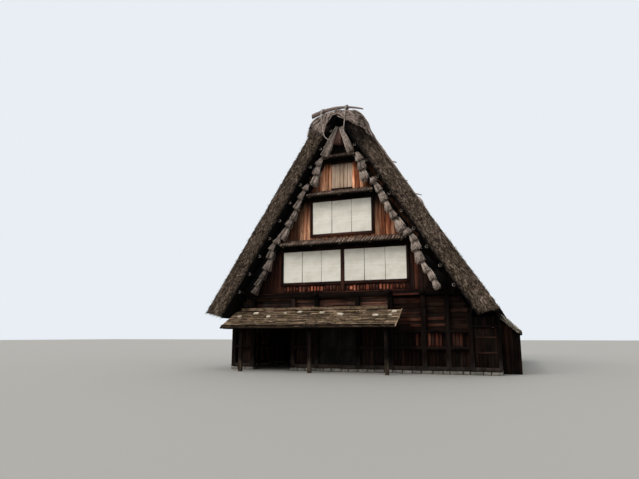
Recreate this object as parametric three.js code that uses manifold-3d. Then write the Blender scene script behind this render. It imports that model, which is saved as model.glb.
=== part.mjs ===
// A gassho farmhouse: a steep thatched roof like hands in prayer over a timber house of four storeys, with
// papered windows and small board eaves in its gable, a porch on posts over the entrance, and a side aisle
// and a low shed along its right flank.
//
// Millimetres, +Z up. x = 0 is the line of the ridge, y = 0 the middle of the front wall's posts and z = 0
// the ground. The front looks towards -Y, and the ridge runs along +Y.
import * as THREE from "three";
import { mergeVertices } from "three/addons/utils/BufferGeometryUtils.js";
import Module from "manifold-3d";

const wasm = await Module();
wasm.setup();

// What the whole house is set out from.
const LENGTH = 15520; // from the front posts' middle to the back posts' middle
const BAYS = 8; // bays along the flanks
const HALF_WIDTH = 5860; // from the ridge line to the middle of a corner post
const FOOTING = 150; // height of the stone footing
const POST = 220; // side of a square post
const GAP = 0.4; // left between pieces that touch

// The roof: two planes of thatch whose undersides, the soffits, meet at the apex.
const APEX_Z = 12450;
const SOFFIT_SLOPE = Math.tan(THREE.MathUtils.degToRad(58));
const THATCH_SLOPE = Math.tan(THREE.MathUtils.degToRad(57.2));
const EAVE_INNER_Z = 2540;
const EAVE_OUTER = { x: 7200, z: 2790 };
const SHOULDER_Z = 11400; // where the thatch starts to round over towards the ridge
const RIDGE_Z = 12560; // top of the thatch under its ridge cap
const CAP_TOP_Z = 12760;
const VERGE = 850; // how far the thatch stands out past each gable
const CAP_VERGE = 930;

// Heights of the storeys.
const SILL_TOP = FOOTING + 180;
const RAIL = { bottom: 1050, top: 1200 };
const UPPER_RAIL = { bottom: 1800, top: 1920 };
const LINTEL = { bottom: 2020, top: 2220 };
const GREAT_BEAM = { bottom: 3480, top: 3700 };
const PLATE = { bottom: 2690, top: 2870 }; // the beam along the top of each flank
const THIRD_Z = 6240; // where the second storey's gable ends and the third's starts
const FOURTH_Z = 8860;
const PEAK_Z = 10780;

// Posts of the front wall, from left to right.
const FRONT_POSTS = [-HALF_WIDTH, -4815, -2588, -1350, 731, 2306, 3825, 4883, HALF_WIDTH];
const [, DOOR_LEFT, DOOR_RIGHT, SLIDE_LEFT, SLIDE_RIGHT, PORCH_END] = FRONT_POSTS;
const FRAME_FACE = -120; // y of the posts' outer face
const BOARDS = { front: 100, back: 150 }; // y of the board sheets behind the posts

// The side aisle under the right eave, and the shed beyond it.
const AISLE_X = 7010; // middle of its outer wall's posts
const AISLE_POST = 160;
const AISLE_TOP = 2660;
const SHED = { x: 7860, front: 950, back: LENGTH - 500, wall: 80 };

const COLOURS = {
  thatch: 0x6b6058,
  reed: 0x8d8172,
  timber: 0x2b211b,
  board: 0x5a3826,
  weathered: 0x77695a,
  paper: 0xd9d5c6,
  shingle: 0x7a6d5a,
  stone: 0x8a857b,
  rope: 0xa59a86,
};

// Solids and meshes.

function solidOf(geometry) {
  for (const name of Object.keys(geometry.attributes)) {
    if (name !== "position") geometry.deleteAttribute(name);
  }
  const merged = mergeVertices(geometry, 1e-3);
  return new wasm.Manifold(
    new wasm.Mesh({
      numProp: 3,
      vertProperties: new Float32Array(merged.attributes.position.array),
      triVerts: new Uint32Array(merged.index.array),
    }),
  );
}

function geometryOf(solid) {
  const mesh = solid.getMesh();
  const shared = new THREE.BufferGeometry()
    .setAttribute("position", new THREE.BufferAttribute(mesh.vertProperties, mesh.numProp))
    .setIndex(new THREE.BufferAttribute(mesh.triVerts, 1));
  const flat = shared.toNonIndexed();
  flat.computeVertexNormals();
  return flat;
}

function joined(solids) {
  return solids.reduce((all, one) => all.add(one));
}

function meshOf(name, solid, colour, roughness = 0.9) {
  const material = new THREE.MeshStandardMaterial({ color: colour, roughness, metalness: 0 });
  const mesh = new THREE.Mesh(geometryOf(solid), material);
  mesh.name = name;
  return mesh;
}

function box(x0, x1, y0, y1, z0, z1) {
  const geometry = new THREE.BoxGeometry(x1 - x0, y1 - y0, z1 - z0);
  geometry.translate((x0 + x1) / 2, (y0 + y1) / 2, (z0 + z1) / 2);
  return solidOf(geometry);
}

// A flat outline of [first, second] points, extruded. acrossY takes points as x and z; alongX takes y and z.
function extruded(points, depth) {
  const shape = new THREE.Shape(points.map(([a, b]) => new THREE.Vector2(a, b)));
  return new THREE.ExtrudeGeometry(shape, { depth, bevelEnabled: false });
}

function acrossY(points, y0, y1) {
  const geometry = extruded(points, y1 - y0);
  geometry.rotateX(Math.PI / 2);
  geometry.translate(0, y1, 0);
  return solidOf(geometry);
}

function alongX(points, x0, x1) {
  const geometry = extruded(points, x1 - x0);
  const axes = [new THREE.Vector3(0, 1, 0), new THREE.Vector3(0, 0, 1), new THREE.Vector3(1, 0, 0)];
  geometry.applyMatrix4(new THREE.Matrix4().makeBasis(...axes));
  geometry.translate(x0, 0, 0);
  return solidOf(geometry);
}

// A round pole along Y.
function poleY(x, z, radius, y0, y1, sides = 8) {
  const geometry = new THREE.CylinderGeometry(radius, radius, y1 - y0, sides);
  geometry.translate(x, (y0 + y1) / 2, z);
  return solidOf(geometry);
}

function mirroredX(points) {
  return points.map(([x, z]) => [-x, z]).reverse();
}

// Lines of the roof, for the right-hand slope: the x at which each one passes a height.

const SOFFIT_SINE = Math.sin(Math.atan(SOFFIT_SLOPE));

function soffitX(z, inset = 0) {
  return (APEX_Z - z) / SOFFIT_SLOPE - inset / SOFFIT_SINE;
}

function soffitZ(x, inset = 0) {
  return APEX_Z - (x + inset / SOFFIT_SINE) * SOFFIT_SLOPE;
}

function thatchX(z) {
  return EAVE_OUTER.x - (z - EAVE_OUTER.z) / THATCH_SLOPE;
}

// Thatch.

// The rounded top of the thatch, from its shoulder to the ridge line.
function ridgeRound(offset) {
  const shoulder = new THREE.Vector2(thatchX(SHOULDER_Z) + offset, SHOULDER_Z);
  const corner = new THREE.Vector2(0.6 * shoulder.x, RIDGE_Z + offset);
  const top = new THREE.Vector2(0, RIDGE_Z + offset);
  return new THREE.QuadraticBezierCurve(shoulder, corner, top).getPoints(6).map((p) => [p.x, p.y]);
}

function thatchSlope(side) {
  const half = GAP;
  const outline = [
    [soffitX(EAVE_INNER_Z), EAVE_INNER_Z],
    [EAVE_OUTER.x, EAVE_OUTER.z],
    ...ridgeRound(0).slice(0, -1),
    [half, RIDGE_Z],
    [half, soffitZ(half)],
  ];
  return acrossY(side > 0 ? outline : mirroredX(outline), -VERGE, LENGTH + VERGE);
}

const RIDGE_POLE = { radius: 65, z: CAP_TOP_Z + 45 };

// The bent reeds over the ridge: a rounded cap, hollowed by the thatch under it. It swells at both verges,
// where the reeds fan out, and lies closer to the thatch between them.
const CAP_COLLAR = 1100;

function ridgeThatch() {
  const foot = SHOULDER_Z - 150;
  const capOutline = (flank) => {
    const right = [[thatchX(foot) + 20, foot], ...flank];
    return [...right, [0, CAP_TOP_Z], ...mirroredX(right)];
  };
  const swollen = capOutline([
    [1560, 11700],
    [1450, 12100],
    [1250, 12380],
    [900, 12600],
    [450, 12720],
  ]);
  const close = capOutline([
    [1550, 11710],
    [1320, 12020],
    [1130, 12220],
    [850, 12430],
    [450, 12650],
  ]);
  const under = [
    [thatchX(foot - 100) + 3, foot - 100],
    ...ridgeRound(3),
    ...mirroredX([[thatchX(foot - 100) + 3, foot - 100], ...ridgeRound(3).slice(0, -1)]),
  ];
  const groove = poleY(0, RIDGE_POLE.z, RIDGE_POLE.radius + 2, -VERGE - 500, LENGTH + VERGE + 500, 10);
  return acrossY(close, -CAP_VERGE, LENGTH + CAP_VERGE)
    .add(acrossY(swollen, -CAP_VERGE, CAP_COLLAR - CAP_VERGE))
    .add(acrossY(swollen, LENGTH + CAP_VERGE - CAP_COLLAR, LENGTH + CAP_VERGE))
    .subtract(acrossY(under, -CAP_VERGE - 100, LENGTH + CAP_VERGE + 100))
    .subtract(groove);
}

// A bowed, tapering log laid across the ridge.
const LOG = { half: 1340, thick: 105, thin: 50, rise: 260, steps: 8, sides: 8 };
const LOG_Z = CAP_TOP_Z + 180;

function ridgeLog(y, shift) {
  const points = [];
  const radii = [];
  for (let i = 0; i <= LOG.steps; i++) {
    const along = i / LOG.steps;
    const x = shift + LOG.half * (2 * along - 1);
    points.push([x, LOG_Z - LOG.rise * (2 * along - 1) ** 2]);
    radii.push(THREE.MathUtils.lerp(LOG.thick, LOG.thin, along));
  }
  const position = [];
  for (let i = 0; i <= LOG.steps; i++) {
    for (let k = 0; k < LOG.sides; k++) {
      const turn = (2 * Math.PI * k) / LOG.sides;
      position.push(points[i][0], y + radii[i] * Math.cos(turn), points[i][1] + radii[i] * Math.sin(turn));
    }
  }
  const index = [];
  for (let i = 0; i < LOG.steps; i++) {
    for (let k = 0; k < LOG.sides; k++) {
      const a = i * LOG.sides + k;
      const b = i * LOG.sides + ((k + 1) % LOG.sides);
      index.push(a, b, a + LOG.sides, b, b + LOG.sides, a + LOG.sides);
    }
  }
  const last = LOG.steps * LOG.sides;
  for (let k = 1; k < LOG.sides - 1; k++) {
    index.push(0, k + 1, k, last, last + k, last + k + 1);
  }
  const geometry = new THREE.BufferGeometry();
  geometry.setAttribute("position", new THREE.Float32BufferAttribute(position, 3));
  geometry.setIndex(index);
  return solidOf(geometry);
}

const FRONT_LOG_Y = -700;
const LOG_SHIFTS = [0, -420, -180, -300, 0]; // of each log along X, front to back

function ridgePoles() {
  const step = (LENGTH - 2 * FRONT_LOG_Y) / (LOG_SHIFTS.length - 1);
  const pole = poleY(0, RIDGE_POLE.z, RIDGE_POLE.radius, -VERGE, LENGTH + VERGE, 10);
  return joined([pole, ...LOG_SHIFTS.map((shift, i) => ridgeLog(FRONT_LOG_Y + step * i, shift))]);
}

// A rope from the ridge log down over the cap's front edge to the topmost purlin's end, with a loose tail.
const ROPE_RADIUS = 22;

function rope(points) {
  const path = new THREE.CatmullRomCurve3(points.map(([x, y, z]) => new THREE.Vector3(x, y, z)));
  const round = new THREE.Shape().absarc(0, 0, ROPE_RADIUS, 0, 2 * Math.PI);
  return solidOf(
    new THREE.ExtrudeGeometry(round, { steps: 18, curveSegments: 3, extrudePath: path, bevelEnabled: false }),
  );
}

const ROPE_Y = -CAP_VERGE - ROPE_RADIUS - 20;
const ROPES = {
  front_rope_left: [
    [-740, FRONT_LOG_Y - 125, 12860],
    [-780, ROPE_Y, 12640],
    [-755, ROPE_Y, 12350],
    [-725, -915, 12040],
    [-680, -900, 11700],
    [-610, -890, 11420],
    [-445, -820, 11265],
  ],
  front_rope_right: [
    [500, FRONT_LOG_Y - 125, 12890],
    [505, ROPE_Y, 12730],
    [480, ROPE_Y + 5, 12450],
    [440, -905, 12150],
    [400, -895, 11860],
    [350, -815, 11710],
    [360, -825, 11620],
    [370, -835, 11480],
  ],
};

// Roof frame: leaning rafters, with purlins across them that run out under the verges.

const PURLIN = { radius: 60, inset: 66, first: 3850, step: 880, count: 10, past: 780 };
const RAFTER = { near: 100, far: 320, width: 200, foot: GREAT_BEAM.bottom - 20, count: 6, first: 400 };
const WALL_INSET = 150; // how far the gables keep below the soffits, clear of the purlins

function rafterYs() {
  const step = (LENGTH - 2 * RAFTER.first) / (RAFTER.count - 1);
  return Array.from({ length: RAFTER.count }, (_, i) => RAFTER.first + i * step);
}

function roofFrame(side) {
  const near = 3;
  const leg = [
    [soffitX(RAFTER.foot, RAFTER.far), RAFTER.foot],
    [soffitX(RAFTER.foot, RAFTER.near), RAFTER.foot],
    [near, soffitZ(near, RAFTER.near)],
    [near, soffitZ(near, RAFTER.far)],
  ];
  const outline = side > 0 ? leg : mirroredX(leg);
  const made = rafterYs().map((y) => acrossY(outline, y - RAFTER.width / 2, y + RAFTER.width / 2));
  for (let i = 0; i < PURLIN.count; i++) {
    const z = PURLIN.first + i * PURLIN.step;
    const x = side * soffitX(z, PURLIN.inset);
    made.push(poleY(x, z, PURLIN.radius, -PURLIN.past, LENGTH + PURLIN.past, 6));
  }
  return joined(made);
}

// Stepped bundles of reed that hang under each verge, in front of the gable's sloping edge. A step is the
// level of a bundle's foot, and how far from the middle its inner side hangs.
const REEDS = {
  inset: 140,
  top: 10450,
  front: -700,
  back: -150,
  steps: [
    [3750, 4450],
    [4110, 4290],
    [4480, 4020],
    [4910, 3690],
    [5480, 3510],
    [5900, 3480],
    [6230, 3160],
    [6420, 2880],
    [7060, 2560],
    [7410, 2350],
    [7930, 2130],
    [8410, 1920],
    [8870, 1650],
    [9060, 1140],
    [9590, 1000],
    [10070, 950],
  ],
};

function vergeReeds(side) {
  const { steps, top, inset } = REEDS;
  const stairs = steps.flatMap(([foot, near], i) => [
    [near, foot],
    [near, i + 1 < steps.length ? steps[i + 1][0] : top],
  ]);
  const against = [steps[0][0], top].map((level) => [soffitX(level, inset), level]);
  const outline = [...against, ...stairs.reverse()];
  return acrossY(side > 0 ? outline : mirroredX(outline), REEDS.front, REEDS.back);
}

// Reeds that hang from the apex in an upside-down V, down to the topmost small eave.
const PEAK_REEDS = { front: -620, back: -300, bottom: 10640, inner: 400, crotch: 11700 };

function peakReeds() {
  const p = PEAK_REEDS;
  const outer = soffitX(p.bottom, REEDS.inset);
  const outline = [
    [-outer, p.bottom],
    [-p.inner, p.bottom],
    [0, p.crotch],
    [p.inner, p.bottom],
    [outer, p.bottom],
    [0, soffitZ(0, REEDS.inset)],
  ];
  return acrossY(outline, p.front, p.back);
}

// Gables. Each storey is a board wall whose sloping edges follow the soffits, with its window or hatch cut
// through.

const GABLE = { front: -40, back: 60 };
const BAY = 3220; // from the middle of the centre post to the outer side of a window bay
const CENTRE_POST = 160;
const SURROUND = 130; // width of the timbers round an opening
const SURROUND_FACE = -100;
const WINDOW_2 = { left: CENTRE_POST / 2, right: BAY - CENTRE_POST / 2, bottom: 4250, top: 5840 };
const WINDOW_3 = { left: -1560, right: 1500, bottom: 6640, top: 8330 };
const HATCH_4 = { left: -540, right: 540, bottom: 8950, top: 10220 };

function gableOutline(bottom, top) {
  return [
    [-soffitX(bottom, WALL_INSET), bottom],
    [soffitX(bottom, WALL_INSET), bottom],
    [soffitX(top, WALL_INSET), top],
    [-soffitX(top, WALL_INSET), top],
  ];
}

function gableStorey(bottom, top, openings) {
  const surround = openings.map((o) =>
    box(
      o.left - SURROUND,
      o.right + SURROUND,
      SURROUND_FACE,
      GABLE.back,
      o.bottom - SURROUND,
      o.top + SURROUND,
    ),
  );
  const holes = openings.map((o) => box(o.left, o.right, -500, 500, o.bottom, o.top));
  const wall = acrossY(gableOutline(bottom, top), GABLE.front, GABLE.back);
  const limits = box(-HALF_WIDTH, HALF_WIDTH, -500, 500, bottom, top);
  return joined([wall, ...surround]).intersect(limits).subtract(joined(holes));
}

function mirroredOpening(o) {
  return { left: -o.right, right: -o.left, bottom: o.bottom, top: o.top };
}

function gablePeak() {
  const bottom = PEAK_Z + GAP;
  const outline = [
    [-soffitX(bottom, WALL_INSET), bottom],
    [soffitX(bottom, WALL_INSET), bottom],
    [0, soffitZ(0, WALL_INSET)],
  ];
  return acrossY(outline, GABLE.front, GABLE.back);
}

// Papered sliding screens in their tracks, which close a window bay.
const SCREEN = { thick: 30, track: 34, rail: 36, front: -60, clear: 2 };

function screens(opening, count) {
  const left = opening.left + SCREEN.clear;
  const right = opening.right - SCREEN.clear;
  const bottom = opening.bottom + SCREEN.clear;
  const top = opening.top - SCREEN.clear;
  const back = SCREEN.front + 2 * SCREEN.track;
  const made = [
    box(left, right, SCREEN.front, back, bottom, bottom + SCREEN.rail),
    box(left, right, SCREEN.front, back, top - SCREEN.rail, top),
  ];
  const width = (right - left) / count;
  for (let i = 0; i < count; i++) {
    const y = SCREEN.front + (i % 2) * SCREEN.track;
    const from = i === 0 ? left : left + i * width - 15;
    made.push(box(from, left + (i + 1) * width, y, y + SCREEN.thick, bottom + 10, top - 10));
  }
  return joined(made);
}

function hatch() {
  const o = HATCH_4;
  const clear = SCREEN.clear;
  return box(o.left + clear, o.right - clear, -50, 0, o.bottom + clear, o.top - clear);
}

// A small board roof on arms, across the gable between two storeys.
const PENT = { reach: 580, drop: 270, thick: 80, arm: 90, armDepth: 70 };

function pentRoof(bottomZ, half, arms) {
  const back = GABLE.front - GAP;
  const front = back - PENT.reach;
  const roof = alongX(
    [
      [front, bottomZ],
      [back, bottomZ + PENT.drop],
      [back, bottomZ + PENT.drop + PENT.thick],
      [front, bottomZ + PENT.thick],
    ],
    -half,
    half,
  );
  const armOutline = [
    [front + 60, bottomZ - 10],
    [back, bottomZ + PENT.drop - 110 - PENT.armDepth],
    [back, bottomZ + PENT.drop + 20],
    [front + 60, bottomZ + 40],
  ];
  const made = [roof];
  for (let i = 0; i < arms; i++) {
    const x = (half - 120) * ((2 * i) / (arms - 1) - 1);
    made.push(alongX(armOutline, x - PENT.arm / 2, x + PENT.arm / 2));
  }
  return joined(made);
}

const PENT_2 = { z: 6040, half: 3120, arms: 5 };
const PENT_3 = { z: 8500, half: 1720, arms: 3 };
const PENT_4 = { z: 10400, arms: 2 };

function pentTop(pent) {
  return pent.z + PENT.drop + PENT.thick;
}

function gable(end) {
  const whole = new THREE.Group();
  const window2 = [WINDOW_2, mirroredOpening(WINDOW_2)];
  const topmostHalf = soffitX(pentTop(PENT_4), WALL_INSET) - 20;
  whole.add(
    meshOf(`${end}_gable_2f`, gableStorey(GREAT_BEAM.top + GAP, THIRD_Z, window2), COLOURS.board),
    meshOf(`${end}_gable_3f`, gableStorey(THIRD_Z + GAP, FOURTH_Z, [WINDOW_3]), COLOURS.board),
    meshOf(`${end}_gable_4f`, gableStorey(FOURTH_Z + GAP, PEAK_Z, [HATCH_4]), COLOURS.board),
    meshOf(`${end}_gable_peak`, gablePeak(), COLOURS.reed),
    meshOf(`${end}_windows_2f_left`, screens(mirroredOpening(WINDOW_2), 3), COLOURS.paper, 0.8),
    meshOf(`${end}_windows_2f_right`, screens(WINDOW_2, 3), COLOURS.paper, 0.8),
    meshOf(`${end}_windows_3f`, screens(WINDOW_3, 3), COLOURS.paper, 0.8),
    meshOf(`${end}_hatch_4f`, hatch(), COLOURS.weathered),
    meshOf(`${end}_eave_2f`, pentRoof(PENT_2.z, PENT_2.half, PENT_2.arms), COLOURS.shingle),
    meshOf(`${end}_eave_3f`, pentRoof(PENT_3.z, PENT_3.half, PENT_3.arms), COLOURS.shingle),
    meshOf(`${end}_eave_4f`, pentRoof(PENT_4.z, topmostHalf, PENT_4.arms), COLOURS.shingle),
    meshOf(`${end}_reeds_left`, vergeReeds(-1), COLOURS.reed),
    meshOf(`${end}_reeds_right`, vergeReeds(1), COLOURS.reed),
    meshOf(`${end}_reeds_peak`, peakReeds(), COLOURS.reed),
  );
  return whole;
}

// Floors.

const FLOOR_END = 110; // from the middle of the end walls

function groundBeams() {
  const bottom = PLATE.top + 5;
  const top = GREAT_BEAM.bottom - 30;
  const outline = [
    [-soffitX(bottom, WALL_INSET), bottom],
    [soffitX(bottom, WALL_INSET), bottom],
    [soffitX(top, WALL_INSET), top],
    [-soffitX(top, WALL_INSET), top],
  ];
  return rafterYs().map((y) => acrossY(outline, y - POST / 2, y + POST / 2));
}

const LONG_BEAMS = [-3825, SLIDE_LEFT, PORCH_END, 3825];
const LONG_BEAM = { radius: 130, z: 3560 };
const SECOND_FLOOR = 3740; // its top

function secondFloor() {
  const bottom = LONG_BEAM.z + LONG_BEAM.radius + GAP;
  const half = soffitX(SECOND_FLOOR, RAFTER.far) - 10;
  return box(-half, half, FLOOR_END + 45, LENGTH - FLOOR_END - 45, bottom, SECOND_FLOOR);
}

// The beams under the second floor: cross beams with long round ones laid over them.
function secondFloorBeams() {
  const ends = [FLOOR_END + 45, LENGTH - FLOOR_END - 45];
  return joined([
    ...groundBeams(),
    ...LONG_BEAMS.map((x) => poleY(x, LONG_BEAM.z, LONG_BEAM.radius, ends[0], ends[1], 8)),
  ]);
}

// An upper floor on collar beams that are held between the rafters.
function upperFloor(top) {
  const bottom = top - 60;
  const collarBottom = bottom - 180;
  const clear = 5;
  const collar = [
    [-soffitX(collarBottom, RAFTER.far) + clear, collarBottom],
    [soffitX(collarBottom, RAFTER.far) - clear, collarBottom],
    [soffitX(bottom + 5, RAFTER.far) - clear, bottom + 5],
    [-soffitX(bottom + 5, RAFTER.far) + clear, bottom + 5],
  ];
  const half = soffitX(top, RAFTER.far) - 10;
  return joined([
    box(-half, half, FLOOR_END, LENGTH - FLOOR_END, bottom, top),
    ...rafterYs().map((y) => acrossY(collar, y - 90, y + 90)),
  ]);
}

// The front wall of the ground storey.

function post(x, y, bottom, top, side = POST) {
  return box(x - side / 2, x + side / 2, y - side / 2, y + side / 2, bottom, top);
}

function frontFrame() {
  const back = BOARDS.front - GAP;
  const inner = FRONT_POSTS.slice(1, -1);
  const rail = (x0, x1, z0, z1, out = 0) => box(x0, x1, FRAME_FACE + 20 - out, back, z0, z1);
  const [left, right] = [FRONT_POSTS[0], FRONT_POSTS[8]];
  const side = POST / 2;
  const upright = (x, top) => box(x - side, x + side, FRAME_FACE, back, FOOTING, top);
  const beamHalf = soffitX(GREAT_BEAM.top, WALL_INSET) - 40;
  const ends = [SLIDE_LEFT, PORCH_END, 3825].map((x) => poleY(x, 3640, 130, -340, GABLE.front - 2, 12));
  return joined([
    ...inner.map((x) => upright(x, GREAT_BEAM.bottom + 10)),
    upright(left, PLATE.bottom),
    upright(right, PLATE.bottom),
    rail(left, DOOR_LEFT, FOOTING, SILL_TOP),
    rail(DOOR_RIGHT, right, FOOTING, SILL_TOP),
    rail(left, DOOR_LEFT, RAIL.bottom, RAIL.top),
    rail(DOOR_RIGHT, SLIDE_LEFT, RAIL.bottom, RAIL.top),
    rail(SLIDE_RIGHT, right, RAIL.bottom, RAIL.top),
    rail(PORCH_END, right, UPPER_RAIL.bottom, UPPER_RAIL.top),
    rail(left, PORCH_END, LINTEL.bottom, LINTEL.top),
    rail(-beamHalf, beamHalf, GREAT_BEAM.bottom, GREAT_BEAM.top, 40),
    ...ends,
  ]);
}

// A sheet of wall boards behind the posts, kept under the soffits.
function frontBoards(x0, x1, z0, z1) {
  const under = [
    [-soffitX(0, WALL_INSET), 0],
    [soffitX(0, WALL_INSET), 0],
    [0, soffitZ(0, WALL_INSET)],
  ];
  return box(x0, x1, BOARDS.front, BOARDS.back, z0, z1).intersect(acrossY(under, -500, 500));
}

// Two plank doors that slide past each other.
const SLIDING_DOOR = { thick: 30, clear: 6, lap: 60 };

function slidingDoor(side) {
  const d = SLIDING_DOOR;
  const left = SLIDE_LEFT + POST / 2 + d.clear;
  const right = SLIDE_RIGHT - POST / 2 - d.clear;
  const middle = (left + right) / 2;
  const from = side < 0 ? left : middle - d.lap / 2;
  const to = side < 0 ? middle + d.lap / 2 : right;
  const y = side < 0 ? 8 : -8 - d.thick;
  return box(from, to, y, y + d.thick, SILL_TOP + d.clear, LINTEL.bottom - d.clear);
}

// Flanks and back.

const FLANK = { front: BOARDS.back + 5, back: LENGTH - BOARDS.back - 5 };
const FLANK_OUT = HALF_WIDTH + POST / 2;
const FLANK_IN = HALF_WIDTH - POST / 2;

function flankYs() {
  return Array.from({ length: BAYS - 1 }, (_, i) => ((i + 1) * LENGTH) / BAYS);
}

function leftWall() {
  const bar = (z0, z1) => box(-FLANK_OUT + 15, -FLANK_IN, FLANK.front, FLANK.back, z0, z1);
  return joined([
    ...flankYs().map((y) => post(-HALF_WIDTH, y, FOOTING, PLATE.bottom + 5)),
    bar(FOOTING, SILL_TOP),
    bar(RAIL.bottom, RAIL.top),
    bar(PLATE.bottom, PLATE.top),
    box(-HALF_WIDTH - 20, -HALF_WIDTH + 20, FLANK.front, FLANK.back, SILL_TOP - 5, PLATE.bottom + 5),
  ]);
}

function rightPosts() {
  return joined([
    ...flankYs().map((y) => post(HALF_WIDTH, y, 0, PLATE.bottom + 5)),
    box(FLANK_IN, FLANK_OUT, FLANK.front, FLANK.back, PLATE.bottom, PLATE.top),
  ]);
}

function backWall() {
  const front = LENGTH - BOARDS.back;
  const face = LENGTH - FRAME_FACE;
  const right = AISLE_X + AISLE_POST / 2;
  const rail = (x0, x1, z0, z1) => box(x0, x1, front, face - 20, z0, z1);
  const upright = (x, top) => box(x - POST / 2, x + POST / 2, front, face, FOOTING, top);
  const under = [
    [-soffitX(0, WALL_INSET), 0],
    [soffitX(0, WALL_INSET), 0],
    [0, soffitZ(0, WALL_INSET)],
  ];
  const boards = box(-FLANK_OUT, FLANK_OUT, front, front + 50, SILL_TOP - 5, GREAT_BEAM.bottom + 5);
  const beamHalf = soffitX(GREAT_BEAM.top, WALL_INSET) - 40;
  return joined([
    ...FRONT_POSTS.slice(1, -1).map((x) => upright(-x, GREAT_BEAM.bottom + 10)),
    upright(-HALF_WIDTH, PLATE.bottom),
    upright(HALF_WIDTH, PLATE.bottom),
    rail(-FLANK_OUT + 20, right, FOOTING, SILL_TOP),
    rail(-FLANK_OUT + 20, right, RAIL.bottom, RAIL.top),
    rail(-HALF_WIDTH, HALF_WIDTH, UPPER_RAIL.bottom, UPPER_RAIL.top),
    rail(-beamHalf, beamHalf, GREAT_BEAM.bottom, GREAT_BEAM.top),
    boards.intersect(acrossY(under, front - 500, front + 500)),
    box(HALF_WIDTH, right, front, front + 50, SILL_TOP - 5, 2450),
    box(right - AISLE_POST, right, front, face, FOOTING, 2450),
  ]);
}

// The side aisle under the right eave.

const AISLE_DOOR = { left: FLANK_OUT + 25, right: AISLE_X - AISLE_POST / 2 - 8, top: 2000, clear: 8 };

function aisleFront() {
  const x0 = FLANK_OUT + 5;
  const x1 = AISLE_X + AISLE_POST / 2;
  return joined([
    box(x0, x1, FRAME_FACE + 20, 100, FOOTING, SILL_TOP),
    box(x1 - AISLE_POST, x1, FRAME_FACE + 20, 100, FOOTING, 2500),
    box(x0, x1, FRAME_FACE + 20, 100, AISLE_DOOR.top + AISLE_DOOR.clear, 2130),
    box(x0, x1, -30, 30, 2120, 2500),
  ]);
}

function aisleDoor() {
  const d = AISLE_DOOR;
  return box(d.left, d.right, -40, 0, SILL_TOP + d.clear, d.top);
}

function aisleSide() {
  const half = AISLE_POST / 2;
  const x0 = AISLE_X - half;
  const x1 = AISLE_X + half;
  const bar = (z0, z1) => box(x0, x1 - 15, FLANK.front, FLANK.back, z0, z1);
  return joined([
    ...flankYs().map((y) => post(AISLE_X, y, FOOTING, AISLE_TOP - 95, AISLE_POST)),
    bar(FOOTING, SILL_TOP),
    bar(RAIL.bottom, RAIL.top),
    bar(AISLE_TOP - 100, AISLE_TOP),
    box(AISLE_X - 20, AISLE_X + 20, FLANK.front, FLANK.back, SILL_TOP - 5, AISLE_TOP - 95),
  ]);
}

// The shed beyond the aisle, with a rough thatched lean-to roof.
const SHED_ROOF = { top: [7110, 2600], foot: [7970, 1850], thick: 190, past: 200 };

function shedRoofUnder(x) {
  const [x0, z0] = SHED_ROOF.top;
  const [x1, z1] = SHED_ROOF.foot;
  return z0 + ((z1 - z0) * (x - x0)) / (x1 - x0) - SHED_ROOF.thick;
}

function shedRoof() {
  const { top, foot, thick, past } = SHED_ROOF;
  const outline = [[top[0], top[1] - thick], [foot[0], foot[1] - thick], foot, top];
  return acrossY(outline, SHED.front - past, SHED.back + past);
}

function shedWalls() {
  const inner = AISLE_X + AISLE_POST / 2 + 5;
  const outline = (x0, x1) => [
    [x0, 0],
    [x1, 0],
    [x1, shedRoofUnder(x1) - 2],
    [x0, shedRoofUnder(x0) - 2],
  ];
  return joined([
    acrossY(outline(inner, SHED.x), SHED.front, SHED.front + SHED.wall),
    acrossY(outline(SHED.x - SHED.wall, SHED.x), SHED.front, SHED.back),
    acrossY(outline(inner, SHED.x), SHED.back - SHED.wall, SHED.back),
  ]);
}

// The stone footing under the walls, open at the entrance.
function footing() {
  const out = 20;
  const left = -FLANK_OUT - out;
  const right = AISLE_X + AISLE_POST / 2;
  const front = FRAME_FACE - out;
  const back = LENGTH - front;
  const depth = 300;
  const top = FOOTING - GAP;
  return joined([
    box(left, DOOR_LEFT + POST / 2, front, front + depth, 0, top),
    box(DOOR_RIGHT - POST / 2, right, front, front + depth, 0, top),
    box(left, left + depth, front, back, 0, top),
    box(left, right, back - depth, back, 0, top),
    box(AISLE_X - 100, right, front, back, 0, top),
  ]);
}

// The porch: a board roof on posts, in front of the entrance.
const PORCH = {
  left: -5750,
  right: 2900,
  front: -1720,
  frontZ: 2030,
  wallZ: 2830,
  thick: 85,
  posts: [-4750, -1200, 2400],
  post: 170,
  postY: -1360,
  beam: { bottom: 1980, top: 2150 },
};

function porchUnder(y) {
  const wall = FRAME_FACE - GAP;
  return PORCH.frontZ + ((PORCH.wallZ - PORCH.frontZ) * (y - PORCH.front)) / (wall - PORCH.front);
}

function porchRoof() {
  const wall = FRAME_FACE - GAP;
  const outline = [
    [PORCH.front, PORCH.frontZ],
    [wall, PORCH.wallZ],
    [wall, PORCH.wallZ + PORCH.thick],
    [PORCH.front, PORCH.frontZ + PORCH.thick],
  ];
  return alongX(outline, PORCH.left, PORCH.right);
}

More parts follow.
